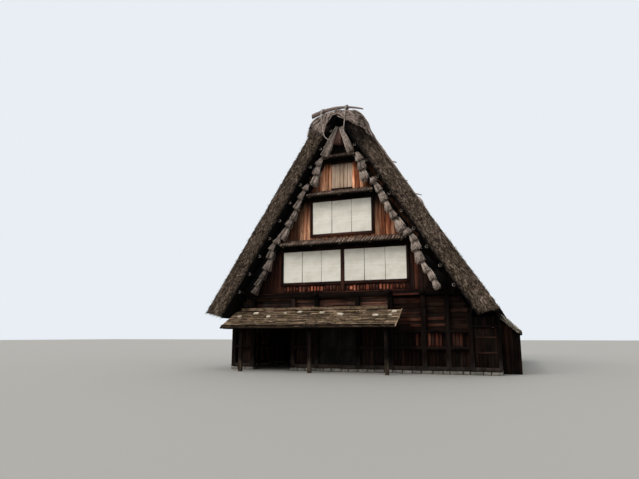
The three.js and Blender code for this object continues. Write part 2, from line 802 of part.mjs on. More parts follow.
function porchFrame() {
  const wall = FRAME_FACE - GAP;
  const rafter = { width: 80, depth: 95, count: 9, tip: PORCH.front + 60 };
  const under = (y) => porchUnder(y) - 1;
  const side = [
    [rafter.tip, under(rafter.tip) - 60],
    [wall, under(wall) - rafter.depth],
    [wall, under(wall)],
    [rafter.tip, under(rafter.tip)],
  ];
  const half = PORCH.post / 2;
  const ends = [PORCH.left + 150, PORCH.right - 150];
  const made = [
    box(...ends, PORCH.postY - 70, PORCH.postY + 70, PORCH.beam.bottom, PORCH.beam.top),
    box(...ends, wall - 60, wall, under(wall - 60) - 200, under(wall - 60)),
  ];
  for (const x of PORCH.posts) {
    made.push(box(x - half, x + half, PORCH.postY - half, PORCH.postY + half, 0, PORCH.beam.bottom + 5));
  }
  const span = PORCH.right - PORCH.left - 400;
  for (let i = 0; i < rafter.count; i++) {
    const x = PORCH.left + 200 + (span * i) / (rafter.count - 1);
    made.push(alongX(side, x - rafter.width / 2, x + rafter.width / 2));
  }
  return joined(made);
}

// The whole house.

const house = new THREE.Group();

house.add(
  meshOf("thatch_left", thatchSlope(-1), COLOURS.thatch, 1),
  meshOf("thatch_right", thatchSlope(1), COLOURS.thatch, 1),
  meshOf("ridge_thatch", ridgeThatch(), COLOURS.reed, 1),
  meshOf("ridge_poles", ridgePoles(), COLOURS.weathered),
  meshOf("roof_frame_left", roofFrame(-1), COLOURS.timber),
  meshOf("roof_frame_right", roofFrame(1), COLOURS.timber),
);
for (const [name, points] of Object.entries(ROPES)) house.add(meshOf(name, rope(points), COLOURS.rope));

const backEnd = gable("back");
backEnd.position.y = LENGTH;
backEnd.rotation.z = Math.PI;
house.add(gable("front"), backEnd);

house.add(
  meshOf("floor_2f", secondFloor(), COLOURS.timber),
  meshOf("beams_2f", secondFloorBeams(), COLOURS.timber),
  meshOf("floor_3f", upperFloor(THIRD_Z + 20), COLOURS.timber),
  meshOf("floor_4f", upperFloor(FOURTH_Z + 40), COLOURS.timber),
);

// Board sheets of the front wall: from and to in x, then bottom and top.
const HALF_POST = POST / 2;
const BOARDS_FOOT = SILL_TOP - 100;
const FRONT_SHEETS = {
  front_boards_left: [-FLANK_OUT, DOOR_LEFT + HALF_POST, BOARDS_FOOT, LINTEL.top],
  front_boards_entry: [DOOR_RIGHT - HALF_POST, SLIDE_LEFT + HALF_POST, BOARDS_FOOT, LINTEL.top],
  front_boards_middle: [SLIDE_RIGHT - HALF_POST, PORCH_END - GAP, BOARDS_FOOT, LINTEL.top],
  front_boards_over: [-FLANK_OUT, PORCH_END - GAP, LINTEL.top + GAP, GREAT_BEAM.top],
  front_boards_right: [PORCH_END, FLANK_OUT, BOARDS_FOOT, GREAT_BEAM.top],
};
for (const [name, sheet] of Object.entries(FRONT_SHEETS)) {
  house.add(meshOf(name, frontBoards(...sheet), COLOURS.board));
}

house.add(
  meshOf("footing", footing(), COLOURS.stone, 1),
  meshOf("front_frame", frontFrame(), COLOURS.timber),
  meshOf("sliding_door_left", slidingDoor(-1), COLOURS.weathered),
  meshOf("sliding_door_right", slidingDoor(1), COLOURS.weathered),
  meshOf("left_wall", leftWall(), COLOURS.board),
  meshOf("right_posts", rightPosts(), COLOURS.timber),
  meshOf("back_wall", backWall(), COLOURS.board),
  meshOf("aisle_front", aisleFront(), COLOURS.timber),
  meshOf("aisle_door", aisleDoor(), COLOURS.board),
  meshOf("aisle_side", aisleSide(), COLOURS.board),
  meshOf("shed_walls", shedWalls(), COLOURS.weathered),
  meshOf("shed_roof", shedRoof(), COLOURS.reed, 1),
  meshOf("porch_roof", porchRoof(), COLOURS.shingle),
  meshOf("porch_frame", porchFrame(), COLOURS.weathered),
);

export default house;
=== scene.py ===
from math import cos, pi, radians, sin, tan

import bmesh
import bpy
import numpy as np
from numpy.random import default_rng
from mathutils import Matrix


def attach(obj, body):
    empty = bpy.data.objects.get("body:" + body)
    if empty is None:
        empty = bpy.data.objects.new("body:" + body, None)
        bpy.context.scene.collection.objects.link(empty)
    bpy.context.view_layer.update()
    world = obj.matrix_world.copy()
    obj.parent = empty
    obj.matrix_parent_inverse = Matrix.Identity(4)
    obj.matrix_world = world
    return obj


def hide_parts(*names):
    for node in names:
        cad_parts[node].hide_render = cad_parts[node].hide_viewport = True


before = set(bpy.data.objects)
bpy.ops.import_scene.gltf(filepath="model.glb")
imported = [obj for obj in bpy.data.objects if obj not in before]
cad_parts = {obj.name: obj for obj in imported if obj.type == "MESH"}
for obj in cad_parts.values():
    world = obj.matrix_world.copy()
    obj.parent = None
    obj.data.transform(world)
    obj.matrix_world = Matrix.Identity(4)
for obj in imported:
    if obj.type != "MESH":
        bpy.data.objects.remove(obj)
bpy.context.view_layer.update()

# Camera, floor and light. The camera stands at eye height to the right of the ridge line and looks
# up a little. Light comes from a pale sky all round, with a weak, soft sun over the left shoulder.
bpy.ops.object.camera_add(
    location=(7.768, -23.811, 1.65), rotation=(radians(90 + 10.581), 0, radians(20.675))
)
camera = bpy.context.object
camera.data.sensor_width = 36
camera.data.lens = 29.13
bpy.context.scene.camera = camera
bpy.context.scene.view_settings.view_transform = "Standard"

bpy.ops.mesh.primitive_plane_add(size=400, location=(0, 8, 0))
floor = bpy.context.object
floor.name = "floor"
floor.data.materials.append(bpy.data.materials.new("pale_floor"))
floor.active_material.use_nodes = True
floor_shader = floor.active_material.node_tree.nodes["Principled BSDF"]
floor_shader.inputs["Base Color"].default_value = (0.3, 0.28, 0.25, 1)
floor_shader.inputs["Roughness"].default_value = 0.9

bpy.ops.object.light_add(type="SUN", rotation=(radians(48), 0, radians(-38)))
sun = bpy.context.object
sun.data.energy = 1.3
sun.data.angle = radians(24)
sun.data.color = (1, 0.96, 0.9)

world = bpy.data.worlds.new("pale_sky")
world.use_nodes = True
sky = world.node_tree
glow = sky.nodes["Background"]
glow.inputs["Color"].default_value = (0.9, 0.95, 1, 1)
towards = sky.nodes.new("ShaderNodeSeparateXYZ")
sky.links.new(sky.nodes.new("ShaderNodeTexCoord").outputs["Generated"], towards.inputs[0])
height = sky.nodes.new("ShaderNodeMapRange")
for socket, value in (("From Min", 0.05), ("From Max", 0.55), ("To Min", 0.22), ("To Max", 1.35)):
    height.inputs[socket].default_value = value
sky.links.new(towards.outputs["Z"], height.inputs["Value"])
seen = sky.nodes.new("ShaderNodeLightPath")
backdrop = sky.nodes.new("ShaderNodeMix")
backdrop.inputs[3].default_value = 0.9
sky.links.new(seen.outputs["Is Camera Ray"], backdrop.inputs[0])
sky.links.new(height.outputs["Result"], backdrop.inputs[2])
sky.links.new(backdrop.outputs[0], glow.inputs["Strength"])
bpy.context.scene.world = world


# Thatch. Each slope is a slab of reed about a metre thick across, cut square at the verges and
# eaves. Its skin is worn and shaggy, its verges show cut stems, and moss grows along its edges.
LENGTH = 15.52  # between the front and back posts
APEX = 12.45  # where the two soffits meet
SOFFIT_ANGLE = radians(58)
SKIN_ANGLE = radians(57.2)
SLOPE_ANGLE = radians(57.5)  # between the two
EAVE_INNER_Z = 2.54
EAVE_OUTER = (7.2, 2.79)
SHOULDER = 11.4
RIDGE = 12.56
VERGE = 0.85
SLAB_DEPTH = 0.85  # across a slope's thickness
SLOPE_RUN = 12.2  # down a slope's skin


def alone(piece):
    """Leaves only this piece selected."""
    bpy.ops.object.select_all(action="DESELECT")
    piece.select_set(True)
    bpy.context.view_layer.objects.active = piece


def applied(piece):
    """Puts a piece's place, turn and scale into its mesh."""
    alone(piece)
    bpy.ops.object.transform_apply(location=True, rotation=True, scale=True)
    return piece


def block(name, low, high):
    """A box between two corners."""
    bpy.ops.object.select_all(action="DESELECT")
    bpy.ops.mesh.primitive_cube_add(size=1, location=[(a + b) / 2 for a, b in zip(low, high)])
    piece = bpy.context.object
    piece.name = piece.data.name = name
    piece.scale = [b - a for a, b in zip(low, high)]
    return applied(piece)


def ring_cuts(piece, axis, *cuts):
    """Cuts a piece across one axis, evenly, once for each number of cuts."""
    for number in cuts:
        alone(piece)
        bpy.ops.object.mode_set(mode="EDIT")
        bpy.ops.mesh.select_mode(type="EDGE")
        bpy.ops.mesh.select_all(action="DESELECT")
        mesh = bmesh.from_edit_mesh(piece.data)
        for edge in mesh.edges:
            run = edge.verts[0].co - edge.verts[1].co
            edge.select = abs(run[axis]) > 0.9 * run.length
        bmesh.update_edit_mesh(piece.data)
        bpy.ops.mesh.subdivide(number_cuts=number)
        bpy.ops.object.mode_set(mode="OBJECT")
    return piece


def points_of(piece):
    places = np.empty(3 * len(piece.data.vertices))
    piece.data.vertices.foreach_get("co", places)
    return places.reshape(-1, 3)


def reshaped(piece, move):
    """Moves all of a piece's points by a function of an array of them."""
    piece.data.vertices.foreach_set("co", np.ascontiguousarray(move(points_of(piece))).ravel())
    piece.data.update()
    return piece


def outward(piece):
    """Turns all faces of a closed piece outwards."""
    alone(piece)
    bpy.ops.object.mode_set(mode="EDIT")
    bpy.ops.mesh.select_all(action="SELECT")
    bpy.ops.mesh.normals_make_consistent(inside=False)
    bpy.ops.object.mode_set(mode="OBJECT")
    return piece


def worn(piece, grain, depth, group=""):
    """Wears a piece's skin inwards, in hollows of about that grain."""
    clouds = bpy.data.textures.new("wear", "CLOUDS")
    clouds.noise_scale = grain
    clouds.noise_depth = 2
    wear = piece.modifiers.new("wear", "DISPLACE")
    wear.texture = clouds
    wear.strength = depth
    wear.mid_level = 1
    wear.vertex_group = group
    alone(piece)
    bpy.ops.object.modifier_apply(modifier="wear")
    return piece


def marked(piece, grain, tone):
    """Stores where each point lies in its own stem or board, and how light that one is."""
    mesh = piece.data
    mesh.attributes.new("grain", "FLOAT_VECTOR", "POINT").data.foreach_set("vector", grain.ravel())
    mesh.attributes.new("tone", "FLOAT", "POINT").data.foreach_set("value", tone.ravel())
    return piece


def laid(name, masters, middle, axes, tone, keep=0.0, seed=1):
    """Copies of modelled masters that are a unit long each way, joined as one mesh. Each copy has a
    middle, three edge vectors and a tone. The outer `keep` of a master isn't stretched, only thinned."""
    rng = default_rng(seed)
    middle, axes, tone = (np.asarray(v, float) for v in (middle, axes, tone))
    size = np.linalg.norm(axes, axis=2)
    unit = axes / size[:, :, None]
    unit[np.linalg.det(unit) < 0, 2] *= -1
    shift = rng.uniform(-40, 40, (len(middle), 3))
    points, grains, tones, corners, sides, base = [], [], [], [], [], 0
    for turn, master in enumerate(masters):
        mine = slice(turn, None, len(masters))
        shape = points_of(master)
        count = len(middle[mine])
        if not count:
            continue
        if keep:
            from_end = 0.5 - np.abs(shape)[None]
            thin = np.minimum(keep, 0.3 * size[mine])[:, None]
            far = (from_end - keep) / (0.5 - keep) * (size[mine][:, None] / 2 - thin) + thin
            near = from_end / keep * thin
            local = np.sign(shape)[None] * (size[mine][:, None] / 2 - np.where(from_end < keep, near, far))
        else:
            local = shape[None] * size[mine][:, None]
        points.append((middle[mine][:, None] + local @ unit[mine]).reshape(-1, 3))
        grains.append((local + shift[mine][:, None]).reshape(-1, 3))
        tones.append(np.repeat(tone[mine], len(shape)))
        loops = np.empty(len(master.data.loops), int)
        master.data.loops.foreach_get("vertex_index", loops)
        totals = np.empty(len(master.data.polygons), int)
        master.data.polygons.foreach_get("loop_total", totals)
        steps = base + len(shape) * np.arange(count)
        corners.append((steps[:, None] + loops[None]).ravel())
        sides.append(np.tile(totals, count))
        base += count * len(shape)
    mesh = bpy.data.meshes.new(name)
    points, corners, sides = np.concatenate(points), np.concatenate(corners), np.concatenate(sides)
    mesh.vertices.add(len(points))
    mesh.vertices.foreach_set("co", points.ravel())
    mesh.loops.add(len(corners))
    mesh.loops.foreach_set("vertex_index", corners)
    mesh.polygons.add(len(sides))
    mesh.polygons.foreach_set("loop_start", np.concatenate([[0], np.cumsum(sides)[:-1]]))
    mesh.update(calc_edges=True)
    piece = bpy.data.objects.new(name, mesh)
    bpy.context.scene.collection.objects.link(piece)
    return marked(piece, np.concatenate(grains), np.concatenate(tones))


def framed(length, across, width, thick):
    """Edge vectors of pieces that lie along `length`, flat against the direction `across`."""
    side = np.cross(across, length)
    side /= np.linalg.norm(side, axis=1)[:, None]
    up = np.cross(length, side)
    up /= np.linalg.norm(up, axis=1)[:, None]
    return np.stack([length, side * np.c_[width], up * np.c_[thick]], axis=1)


def one_of(name, *pieces):
    """Joins pieces into one."""
    alone(pieces[0])
    for piece in pieces[1:]:
        piece.select_set(True)
    bpy.ops.object.join()
    pieces[0].name = pieces[0].data.name = name
    return pieces[0]


def gone(*masters):
    """Removes masters that have been copied."""
    for master in masters:
        bpy.data.objects.remove(master)


def straw(name, sides, tip):
    """A stem along X, a unit long and thick, its far end as wide as tip says."""
    bpy.ops.object.select_all(action="DESELECT")
    bpy.ops.mesh.primitive_cone_add(
        vertices=sides, radius1=0.5, radius2=tip / 2, depth=1, rotation=(0, pi / 2, 0)
    )
    piece = bpy.context.object
    piece.name = name
    return applied(piece)


def soffit_x(z, inset=0.0):
    return (APEX - z) / tan(SOFFIT_ANGLE) - inset / sin(SOFFIT_ANGLE)


def thatch_x(z):
    return EAVE_OUTER[0] - (z - EAVE_OUTER[1]) / tan(SKIN_ANGLE)


def ridge_round(steps):
    """The thatch's rounded top, from the ridge line out to the shoulder."""
    shoulder = thatch_x(SHOULDER)
    t = np.linspace(0, 1, steps)[:, None]
    bend = np.array([0.6 * shoulder, RIDGE])
    return (1 - t) ** 2 * [0, RIDGE] + 2 * t * (1 - t) * bend + t**2 * [shoulder, SHOULDER]


def distances(line):
    """How far along a line its own points lie."""
    return np.concatenate([[0], np.cumsum(np.linalg.norm(np.diff(line, axis=0), axis=1))])


def sampled(line, far, share):
    """Points between a line's own ones, which lie so far along it."""
    return np.stack([np.interp(share, far, line[:, k]) for k in range(line.shape[1])], axis=1)


def along(line, share):
    """Points at shares of a line's length."""
    far = distances(line)
    return sampled(line, far / far[-1], share)


SKIN = np.vstack([ridge_round(14), [EAVE_OUTER]])
UNDER = np.array([[0, APEX], [soffit_x(EAVE_INNER_Z), EAVE_INNER_Z]])


def on_slope(points, side):
    """Slab coordinates (share of the run down, y, share of the depth) to the roof's own."""
    under, skin = along(UNDER, points[:, 0]), along(SKIN, points[:, 0])
    place = under + (skin - under) * points[:, 2:]
    return np.column_stack([side * place[:, 0], points[:, 1], place[:, 1]])


def thatch_slope(name, side, seed):
    rng = default_rng(seed)
    slab = block(name, (0, -VERGE, 0), (1, LENGTH + VERGE, 1))
    ring_cuts(slab, 0, 79, 1)
    ring_cuts(slab, 1, 89)
    ring_cuts(slab, 2, 17)
    flat = points_of(slab)
    marked(slab, flat * [SLOPE_RUN, 1, SLAB_DEPTH], np.ones(len(flat)))
    shown = slab.vertex_groups.new(name="shown")
    shown.add([int(i) for i in np.nonzero((flat[:, 2] > 0.01) & (flat[:, 0] > 0.01))[0]], 1, "ADD")
    outward(reshaped(slab, lambda p: on_slope(p, side)))
    worn(slab, 0.55, 0.05, "shown")
    worn(slab, 0.09, 0.075, "shown")
    slab.vertex_groups.clear()

    stem = straw("stem", 3, 0)
    down = np.array([side * cos(SLOPE_ANGLE), 0, -sin(SLOPE_ANGLE)])
    out = np.array([side * sin(SLOPE_ANGLE), 0, cos(SLOPE_ANGLE)])
    verges = []
    for facing, count in ((-1, 6000), (1, 2400)):
        share, depth = rng.uniform(0.02, 1, count), rng.uniform(0.02, 0.99, count)
        y = -VERGE + 0.05 if facing < 0 else LENGTH + VERGE - 0.05
        foot = on_slope(np.column_stack([share, np.full(count, y), depth]), side)
        lean = 0.8 * down + [0, 0.55 * facing, 0] + 0.35 * rng.normal(size=(count, 3))
        lean /= np.linalg.norm(lean, axis=1)[:, None]
        run = lean * rng.uniform(0.1, 0.26, (count, 1))
        thick = rng.uniform(0.012, 0.025, count)
        axes = framed(run, np.tile([0.0, facing, 0.0], (count, 1)), thick, thick * 0.8)
        verges.append(laid("verge", [stem], foot + run * 0.2, axes, rng.uniform(0.5, 1.7, count), seed=seed))
    count = 5000
    share = rng.uniform(0.01, 1, count)
    foot = on_slope(np.column_stack([share, rng.uniform(-0.8, LENGTH + 0.8, count), np.ones(count)]), side)
    lean = down + 0.10 * out + 0.12 * rng.normal(size=(count, 3))
    run = lean * rng.uniform(0.16, 0.42, (count, 1))
    thick = rng.uniform(0.010, 0.02, count)
    axes = framed(run, np.tile(out, (count, 1)), thick, thick * 0.7)
    skin = laid("skin", [stem], foot - out * 0.055, axes, rng.uniform(0.6, 1.5, count), seed=seed + 5)
    gone(stem)
    whole = one_of(name, slab, *verges, skin)
    reach, past = EAVE_OUTER[0] - 0.004, VERGE + 0.079  # how far out straw may stand
    return reshaped(whole, lambda p: np.clip(p, (-reach, -past, 0), (reach, LENGTH + past, RIDGE)))


def srgb(r, g, b):
    """A colour as it is seen, 0 to 255, in the linear values that shaders use."""
    return tuple(((v / 255 + 0.055) / 1.055) ** 2.4 if v > 10 else v / 255 / 12.92 for v in (r, g, b)) + (1,)


def node(tree, kind, sockets, **settings):
    """Adds a shader node. A socket's value is a number, a colour or another node's output."""
    made = tree.nodes.new("ShaderNode" + kind)
    for key, value in settings.items():
        setattr(made, key, value)
    for key, value in sockets.items():
        if isinstance(value, bpy.types.NodeSocket):
            tree.links.new(value, made.inputs[key])
        else:
            made.inputs[key].default_value = value
    return made


def calc(tree, operation, a, b=0.0):
    return node(tree, "Math", {0: a, 1: b}, operation=operation).outputs[0]


def times(tree, a, b):
    return calc(tree, "MULTIPLY", a, b)


def plus(tree, a, b):
    return calc(tree, "ADD", a, b)


def mask(tree, value, none, full):
    """0 to 1 as a value goes from none to full."""
    return node(tree, "MapRange", {"Value": value, "From Min": none, "From Max": full}).outputs[0]


def mixed(tree, share, a, b):
    return node(tree, "Mix", {0: share, 6: a, 7: b}, data_type="RGBA", clamp_factor=True).outputs[2]


def toned(tree, colour, tone):
    return node(tree, "VectorMath", {0: colour, 3: tone}, operation="SCALE").outputs[0]


def spread(tree, vector, stretch):
    return node(tree, "VectorMath", {0: vector, 1: stretch}, operation="MULTIPLY").outputs[0]


def noise(tree, vector, stretch, detail=4.0, roughness=0.6):
    """Cloud noise with so many clouds to the metre along each axis."""
    return node(tree, "TexNoise", {
        "Vector": spread(tree, vector, stretch), "Scale": 1.0, "Detail": detail, "Roughness": roughness,
    }).outputs[0]


def place_in(tree):
    """A point's place in the house."""
    return node(tree, "TexCoord", {}).outputs["Object"]


def parts_of(tree, vector):
    return node(tree, "SeparateXYZ", {0: vector}).outputs


def facing_up(tree):
    """How far the surface looks up, from -1 to 1."""
    return parts_of(tree, node(tree, "NewGeometry", {}).outputs["Normal"])[2]


def own(tree, name):
    """A point's stored attribute."""
    made = node(tree, "Attribute", {}, attribute_name=name)
    return made.outputs["Fac" if name == "tone" else "Vector"]


def group(name, inputs, outputs, build):
    """A shader node group. A function of its tree and its inputs gives a value for each output."""
    tree = bpy.data.node_groups.new(name, "ShaderNodeTree")
    for socket, (kind, value) in inputs.items():
        made = tree.interface.new_socket(socket, in_out="INPUT", socket_type="NodeSocket" + kind)
        if value is not None:
            made.default_value = value
    for socket, kind in outputs.items():
        tree.interface.new_socket(socket, in_out="OUTPUT", socket_type="NodeSocket" + kind)
    gives = tree.nodes.new("NodeGroupOutput").inputs
    for socket, value in build(tree, tree.nodes.new("NodeGroupInput").outputs).items():
        tree.links.new(value, gives[socket])
    return tree


def placed(tree, made, sockets):
    """A group placed in a material, with its own values."""
    return node(tree, "Group", sockets, node_tree=made).outputs


def finish(name, colour, roughness, bump=0.4, depth=0.01, gloss=0.1):
    """A material from a function that builds its colour, its height and perhaps its roughness."""
    made = bpy.data.materials.new(name)
    made.use_nodes = True
    tree = made.node_tree
    shader = tree.nodes["Principled BSDF"]
    seen, height, *rough = colour(tree)
    tree.links.new(seen, shader.inputs["Base Color"])
    shader.inputs["Specular IOR Level"].default_value = gloss
    shader.inputs["Roughness"].default_value = roughness
    for value in rough:
        tree.links.new(value, shader.inputs["Roughness"])
    raised = node(tree, "Bump", {"Strength": bump, "Distance": depth, "Height": height})
    tree.links.new(raised.outputs[0], shader.inputs["Normal"])
    return made


def straw_nodes(tree, given):
    """Stems along X, lit or dark one by one, over coarser mottling. A tone near 0 is near black."""
    stems = noise(tree, given["Stems"], (2.2, 55, 55), 3.0)
    clouds = {"Vector": given["Place"], "Scale": given["Mottle"], "Detail": 6.0, "Roughness": 0.72}
    mottle = node(tree, "TexNoise", clouds).outputs[0]
    lightness = mask(tree, plus(tree, times(tree, stems, 0.45), times(tree, mottle, 0.55)), 0.36, 0.66)
    lightness = times(tree, lightness, given["Tone"])
    lit = mixed(tree, lightness, given["Dark"], given["Light"])
    # Low tones fade to near black, srgb(9, 7, 7): painted shade for reed that lies in deep shade.
    seen = mixed(tree, mask(tree, given["Tone"], 0.0, 0.5), srgb(9, 7, 7), lit)
    return {"Colour": seen, "Height": lightness}


straw_group = group(
    "straw",
    {"Stems": ("Vector", None), "Place": ("Vector", None), "Tone": ("Float", 1.0),
     "Dark": ("Color", None), "Light": ("Color", None), "Mottle": ("Float", 9.0)},
    {"Colour": "Color", "Height": "Float"},
    straw_nodes,
)


def moss_nodes(tree, given):
    """Moss and lichen in patches, which take to what lies open to the rain."""
    place = place_in(tree)
    coarse, fine = (noise(tree, place, (size, size, size)) for size in (0.7, 14))
    patches = plus(tree, times(tree, coarse, 0.6), times(tree, fine, 0.4))
    grown = times(tree, mask(tree, patches, 0.46, 0.6), mask(tree, facing_up(tree), 0.1, 0.5))
    return {"Colour": mixed(tree, times(tree, grown, given["Amount"]), given["Colour"], srgb(96, 92, 52))}


moss_group = group(
    "moss", {"Colour": ("Color", None), "Amount": ("Float", 0.5)}, {"Colour": "Color"}, moss_nodes
)


def thatch_colour(tree):
    """Reed in strands of dark and pale, mossy above, near black along the soffit and on faces that look down
    (soot and painted shade) and under the ridge cap (painted shade).
    """
    place = place_in(tree)
    x, _, z = parts_of(tree, place)
    stem = placed(tree, straw_group, {"Stems": own(tree, "grain"), "Place": place, "Tone": own(tree, "tone"),
                                      "Dark": srgb(58, 43, 34), "Light": srgb(188, 163, 142)})
    fleck = noise(tree, own(tree, "grain"), (5, 16, 21), 4.0, 0.85)
    flecked = mixed(tree, mask(tree, fleck, 0.53, 0.43), stem["Colour"], srgb(30, 23, 21))
    flecked = mixed(tree, times(tree, mask(tree, fleck, 0.575, 0.635), 0.8), flecked, srgb(218, 196, 178))
    mossy = placed(tree, moss_group, {"Colour": flecked, "Amount": 0.75})["Colour"]
    cloud = times(tree, calc(tree, "SUBTRACT", noise(tree, place, (5, 5, 5)), 0.5), 0.25)
    # Near black within about a quarter metre of the soffit: painted shade of the verge's recess, with some
    # soot.
    across = times(tree, calc(tree, "ABSOLUTE", x), sin(SOFFIT_ANGLE))
    down = times(tree, calc(tree, "SUBTRACT", z, APEX), cos(SOFFIT_ANGLE))
    from_soffit = plus(tree, plus(tree, across, down), cloud)
    soot_and_shade = mixed(tree, mask(tree, from_soffit, 0.24, 0.03), mossy, srgb(13, 10, 10))
    # Painted shade under the ridge cap: near black at the top, and on the right face below the cap.
    height = plus(tree, z, cloud)
    right = times(tree, mask(tree, x, 0.0, 0.2), mask(tree, height, 10.2, 11.3))
    top = calc(tree, "MAXIMUM", mask(tree, height, 11.9, 12.1), times(tree, right, 0.85))
    soot_and_shade = mixed(tree, top, soot_and_shade, srgb(16, 13, 13))
    # Faces that look down go near black: soot on the underside, and painted shade.
    return mixed(tree, mask(tree, facing_up(tree), -0.2, -0.5), soot_and_shade, srgb(16, 13, 12)), stem["Height"]


def settle(piece, material, slot, *nodes, body="root"):
    """Gives a finished piece its material, its body and the solids that it stands for."""
    piece.data.materials.clear()
    piece.data.materials.append(material)
    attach(piece, body)
    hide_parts(*nodes)
    return piece


thatch = finish("thatch", thatch_colour, 0.95, bump=0.9, depth=0.03)
settle(thatch_slope("thatch_slope_left", -1, 11), thatch, "thatch", "thatch_left")
settle(thatch_slope("thatch_slope_right", 1, 12), thatch, "thatch", "thatch_right")


# Ridge cap. Long straw is bent over the top in locks, each slope's upper edge under it, and its ends
# are left ragged. At the verges it swells, and fans out over the cut face of the thatch, about a hollow.
CAP_VERGE = 0.93
CAP_SWOLLEN = [(0, 12.755), (0.45, 12.715), (0.9, 12.59), (1.25, 12.37), (1.45, 12.09), (1.57, 11.7),
               (1.76, 11.25)]  # half of its section, x and z, at a verge
CAP_CLOSE = [(0, 12.755), (0.45, 12.64), (0.85, 12.42), (1.13, 12.21), (1.32, 12.01), (1.55, 11.7),
             (1.76, 11.25)]  # and between the verges
CAP_SWELL = (0.7, 1.4)  # how far from its verge the cap starts and ends to draw in
CAP_LEFT_SHORT = 0.4  # by how much it ends higher on the left
FAN_HUBS = {-1: (-0.35, 12.97), 1: (0.0, 13.03)}  # x and z of the two that its verge's straw spreads from
HOLLOW_PEAK = -0.14  # where its two sides meet
HOLLOW_LEFT = [(11.2, -0.80), (11.6, -0.66), (12.0, -0.53), (12.3, -0.32), (12.55, HOLLOW_PEAK)]  # z and x
HOLLOW_RIGHT = (12.46, -0.64)  # its height at x = 0, and how it falls


def curve_through(points, steps):
    """A smooth line through points."""
    points = np.asarray(points, float)
    padded = np.vstack([2 * points[0] - points[1], points, 2 * points[-1] - points[-2]])
    pieces = []
    for a, b, c, d in zip(padded, padded[1:], padded[2:], padded[3:]):
        t = np.linspace(0, 1, steps, endpoint=False)[:, None]
        pieces.append(b + 0.5 * t * (c - a + t * (2 * a - 5 * b + 4 * c - d + t * (3 * (b - c) + d - a))))
    return np.vstack([*pieces, points[-1:]])


def cap_section(points):
    """A section's shares of its run, its points there and which way it leads."""
    line = curve_through(points, 6)
    far = distances(line)
    lean = np.gradient(line, axis=0)
    lean /= np.linalg.norm(lean, axis=1)[:, None]
    lean[0] = (1, 0)
    return far / far[-1], line, lean


CAP_SECTIONS = [cap_section(points) for points in (CAP_SWOLLEN, CAP_CLOSE)]
CAP_RUN = distances(CAP_SECTIONS[0][1])[-1]


def over_ridge(points):
    """Bends what lies flat, from x = -CAP_RUN to CAP_RUN with its height in z, over the ridge."""
    share = np.abs(points[:, 0]) / CAP_RUN
    from_verge = CAP_VERGE + np.minimum(points[:, 1], LENGTH - points[:, 1])
    close = np.clip((from_verge - CAP_SWELL[0]) / (CAP_SWELL[1] - CAP_SWELL[0]), 0, 1)[:, None]
    at, lean = 0, 0
    for weight, (shares, line, leans) in zip((1 - close, close), CAP_SECTIONS):
        at = at + weight * sampled(line, shares, share)
        lean = lean + weight * sampled(leans, shares, share)
    past = np.maximum(share - 1, 0)[:, None] * CAP_RUN
    at = at + lean * past + lean[:, ::-1] * [-1, 1] * points[:, 2:]
    return np.column_stack([np.where(points[:, 0] < 0, -1, 1) * at[:, 0], points[:, 1], at[:, 1]])


def turned(piece, name):
    """The like piece at the back end, turned half round."""
    alone(piece)
    bpy.ops.object.duplicate()
    copy = bpy.context.object
    copy.name = copy.data.name = name
    return reshaped(copy, lambda p: np.array([0, LENGTH, 0]) + p * [-1, -1, 1])


def on_fan(x, z):
    """Where, seen from the front, straw covers the verge's face."""
    line = CAP_SECTIONS[0][1][::-1]
    reach = np.interp(z, line[:, 1], line[:, 0])
    left = (x < np.interp(z, *zip(*HOLLOW_LEFT))) & (z > 11.47 + 0.5 * np.maximum(0, -0.9 - x))
    right = (x > HOLLOW_PEAK) & ((z > HOLLOW_RIGHT[0] + HOLLOW_RIGHT[1] * x) | (x > reach - 0.2))
    return (np.abs(x) < reach) & (left | right)


def fan(lock, seed):
    """Locks over the front verge's face, spread from two hubs."""
    rng = default_rng(seed)
    count = 4200
    z = rng.uniform(11.2, 12.75, count)
    x = rng.uniform(-1.7, 1.7, count)
    hub = np.array([FAN_HUBS[-1 if v < -0.15 else 1] for v in x])
    lean = np.column_stack([x, z]) - hub
    lean /= np.linalg.norm(lean, axis=1)[:, None]
    level = np.clip(1 - np.abs(x) / 0.5, 0, 1)[:, None]
    lean = lean * (1 - level) + level * np.column_stack([np.sign(x), -0.25 * np.ones(count)])
    lean += rng.normal(0, 0.08, (count, 2))
    lean /= np.linalg.norm(lean, axis=1)[:, None]
    run = rng.uniform(0.3, 0.75, count)
    kept = np.ones(count, dtype=bool)
    for share in (-0.5, -0.25, 0, 0.25, 0.5):
        kept &= on_fan(x + share * run * lean[:, 0], z + share * run * lean[:, 1])
    x, z, lean, run = x[kept], z[kept], lean[kept], run[kept]
    y = -CAP_VERGE + rng.uniform(0.012, 0.10, len(x))
    thick = rng.uniform(0.018, 0.042, len(x))
    length = np.column_stack([lean[:, 0], rng.normal(0, 0.05, len(x)), lean[:, 1]]) * run[:, None]
    axes = framed(length, np.tile([0.0, 1, 0], (len(x), 1)), thick * 1.4, thick)
    tones = rng.choice([0.25, 0.8, 1.3, 1.9, 2.6], len(x))
    # Painted shade: the straw is darker out at the fan's sides, most of all on the right, which lies in
    # shade.
    tones *= np.where(x > 1.05, 0.45, np.where(x < -0.9, 0.75, 1.1))
    return laid("fan", [lock], np.column_stack([x, y, z]), axes, tones, seed=seed)


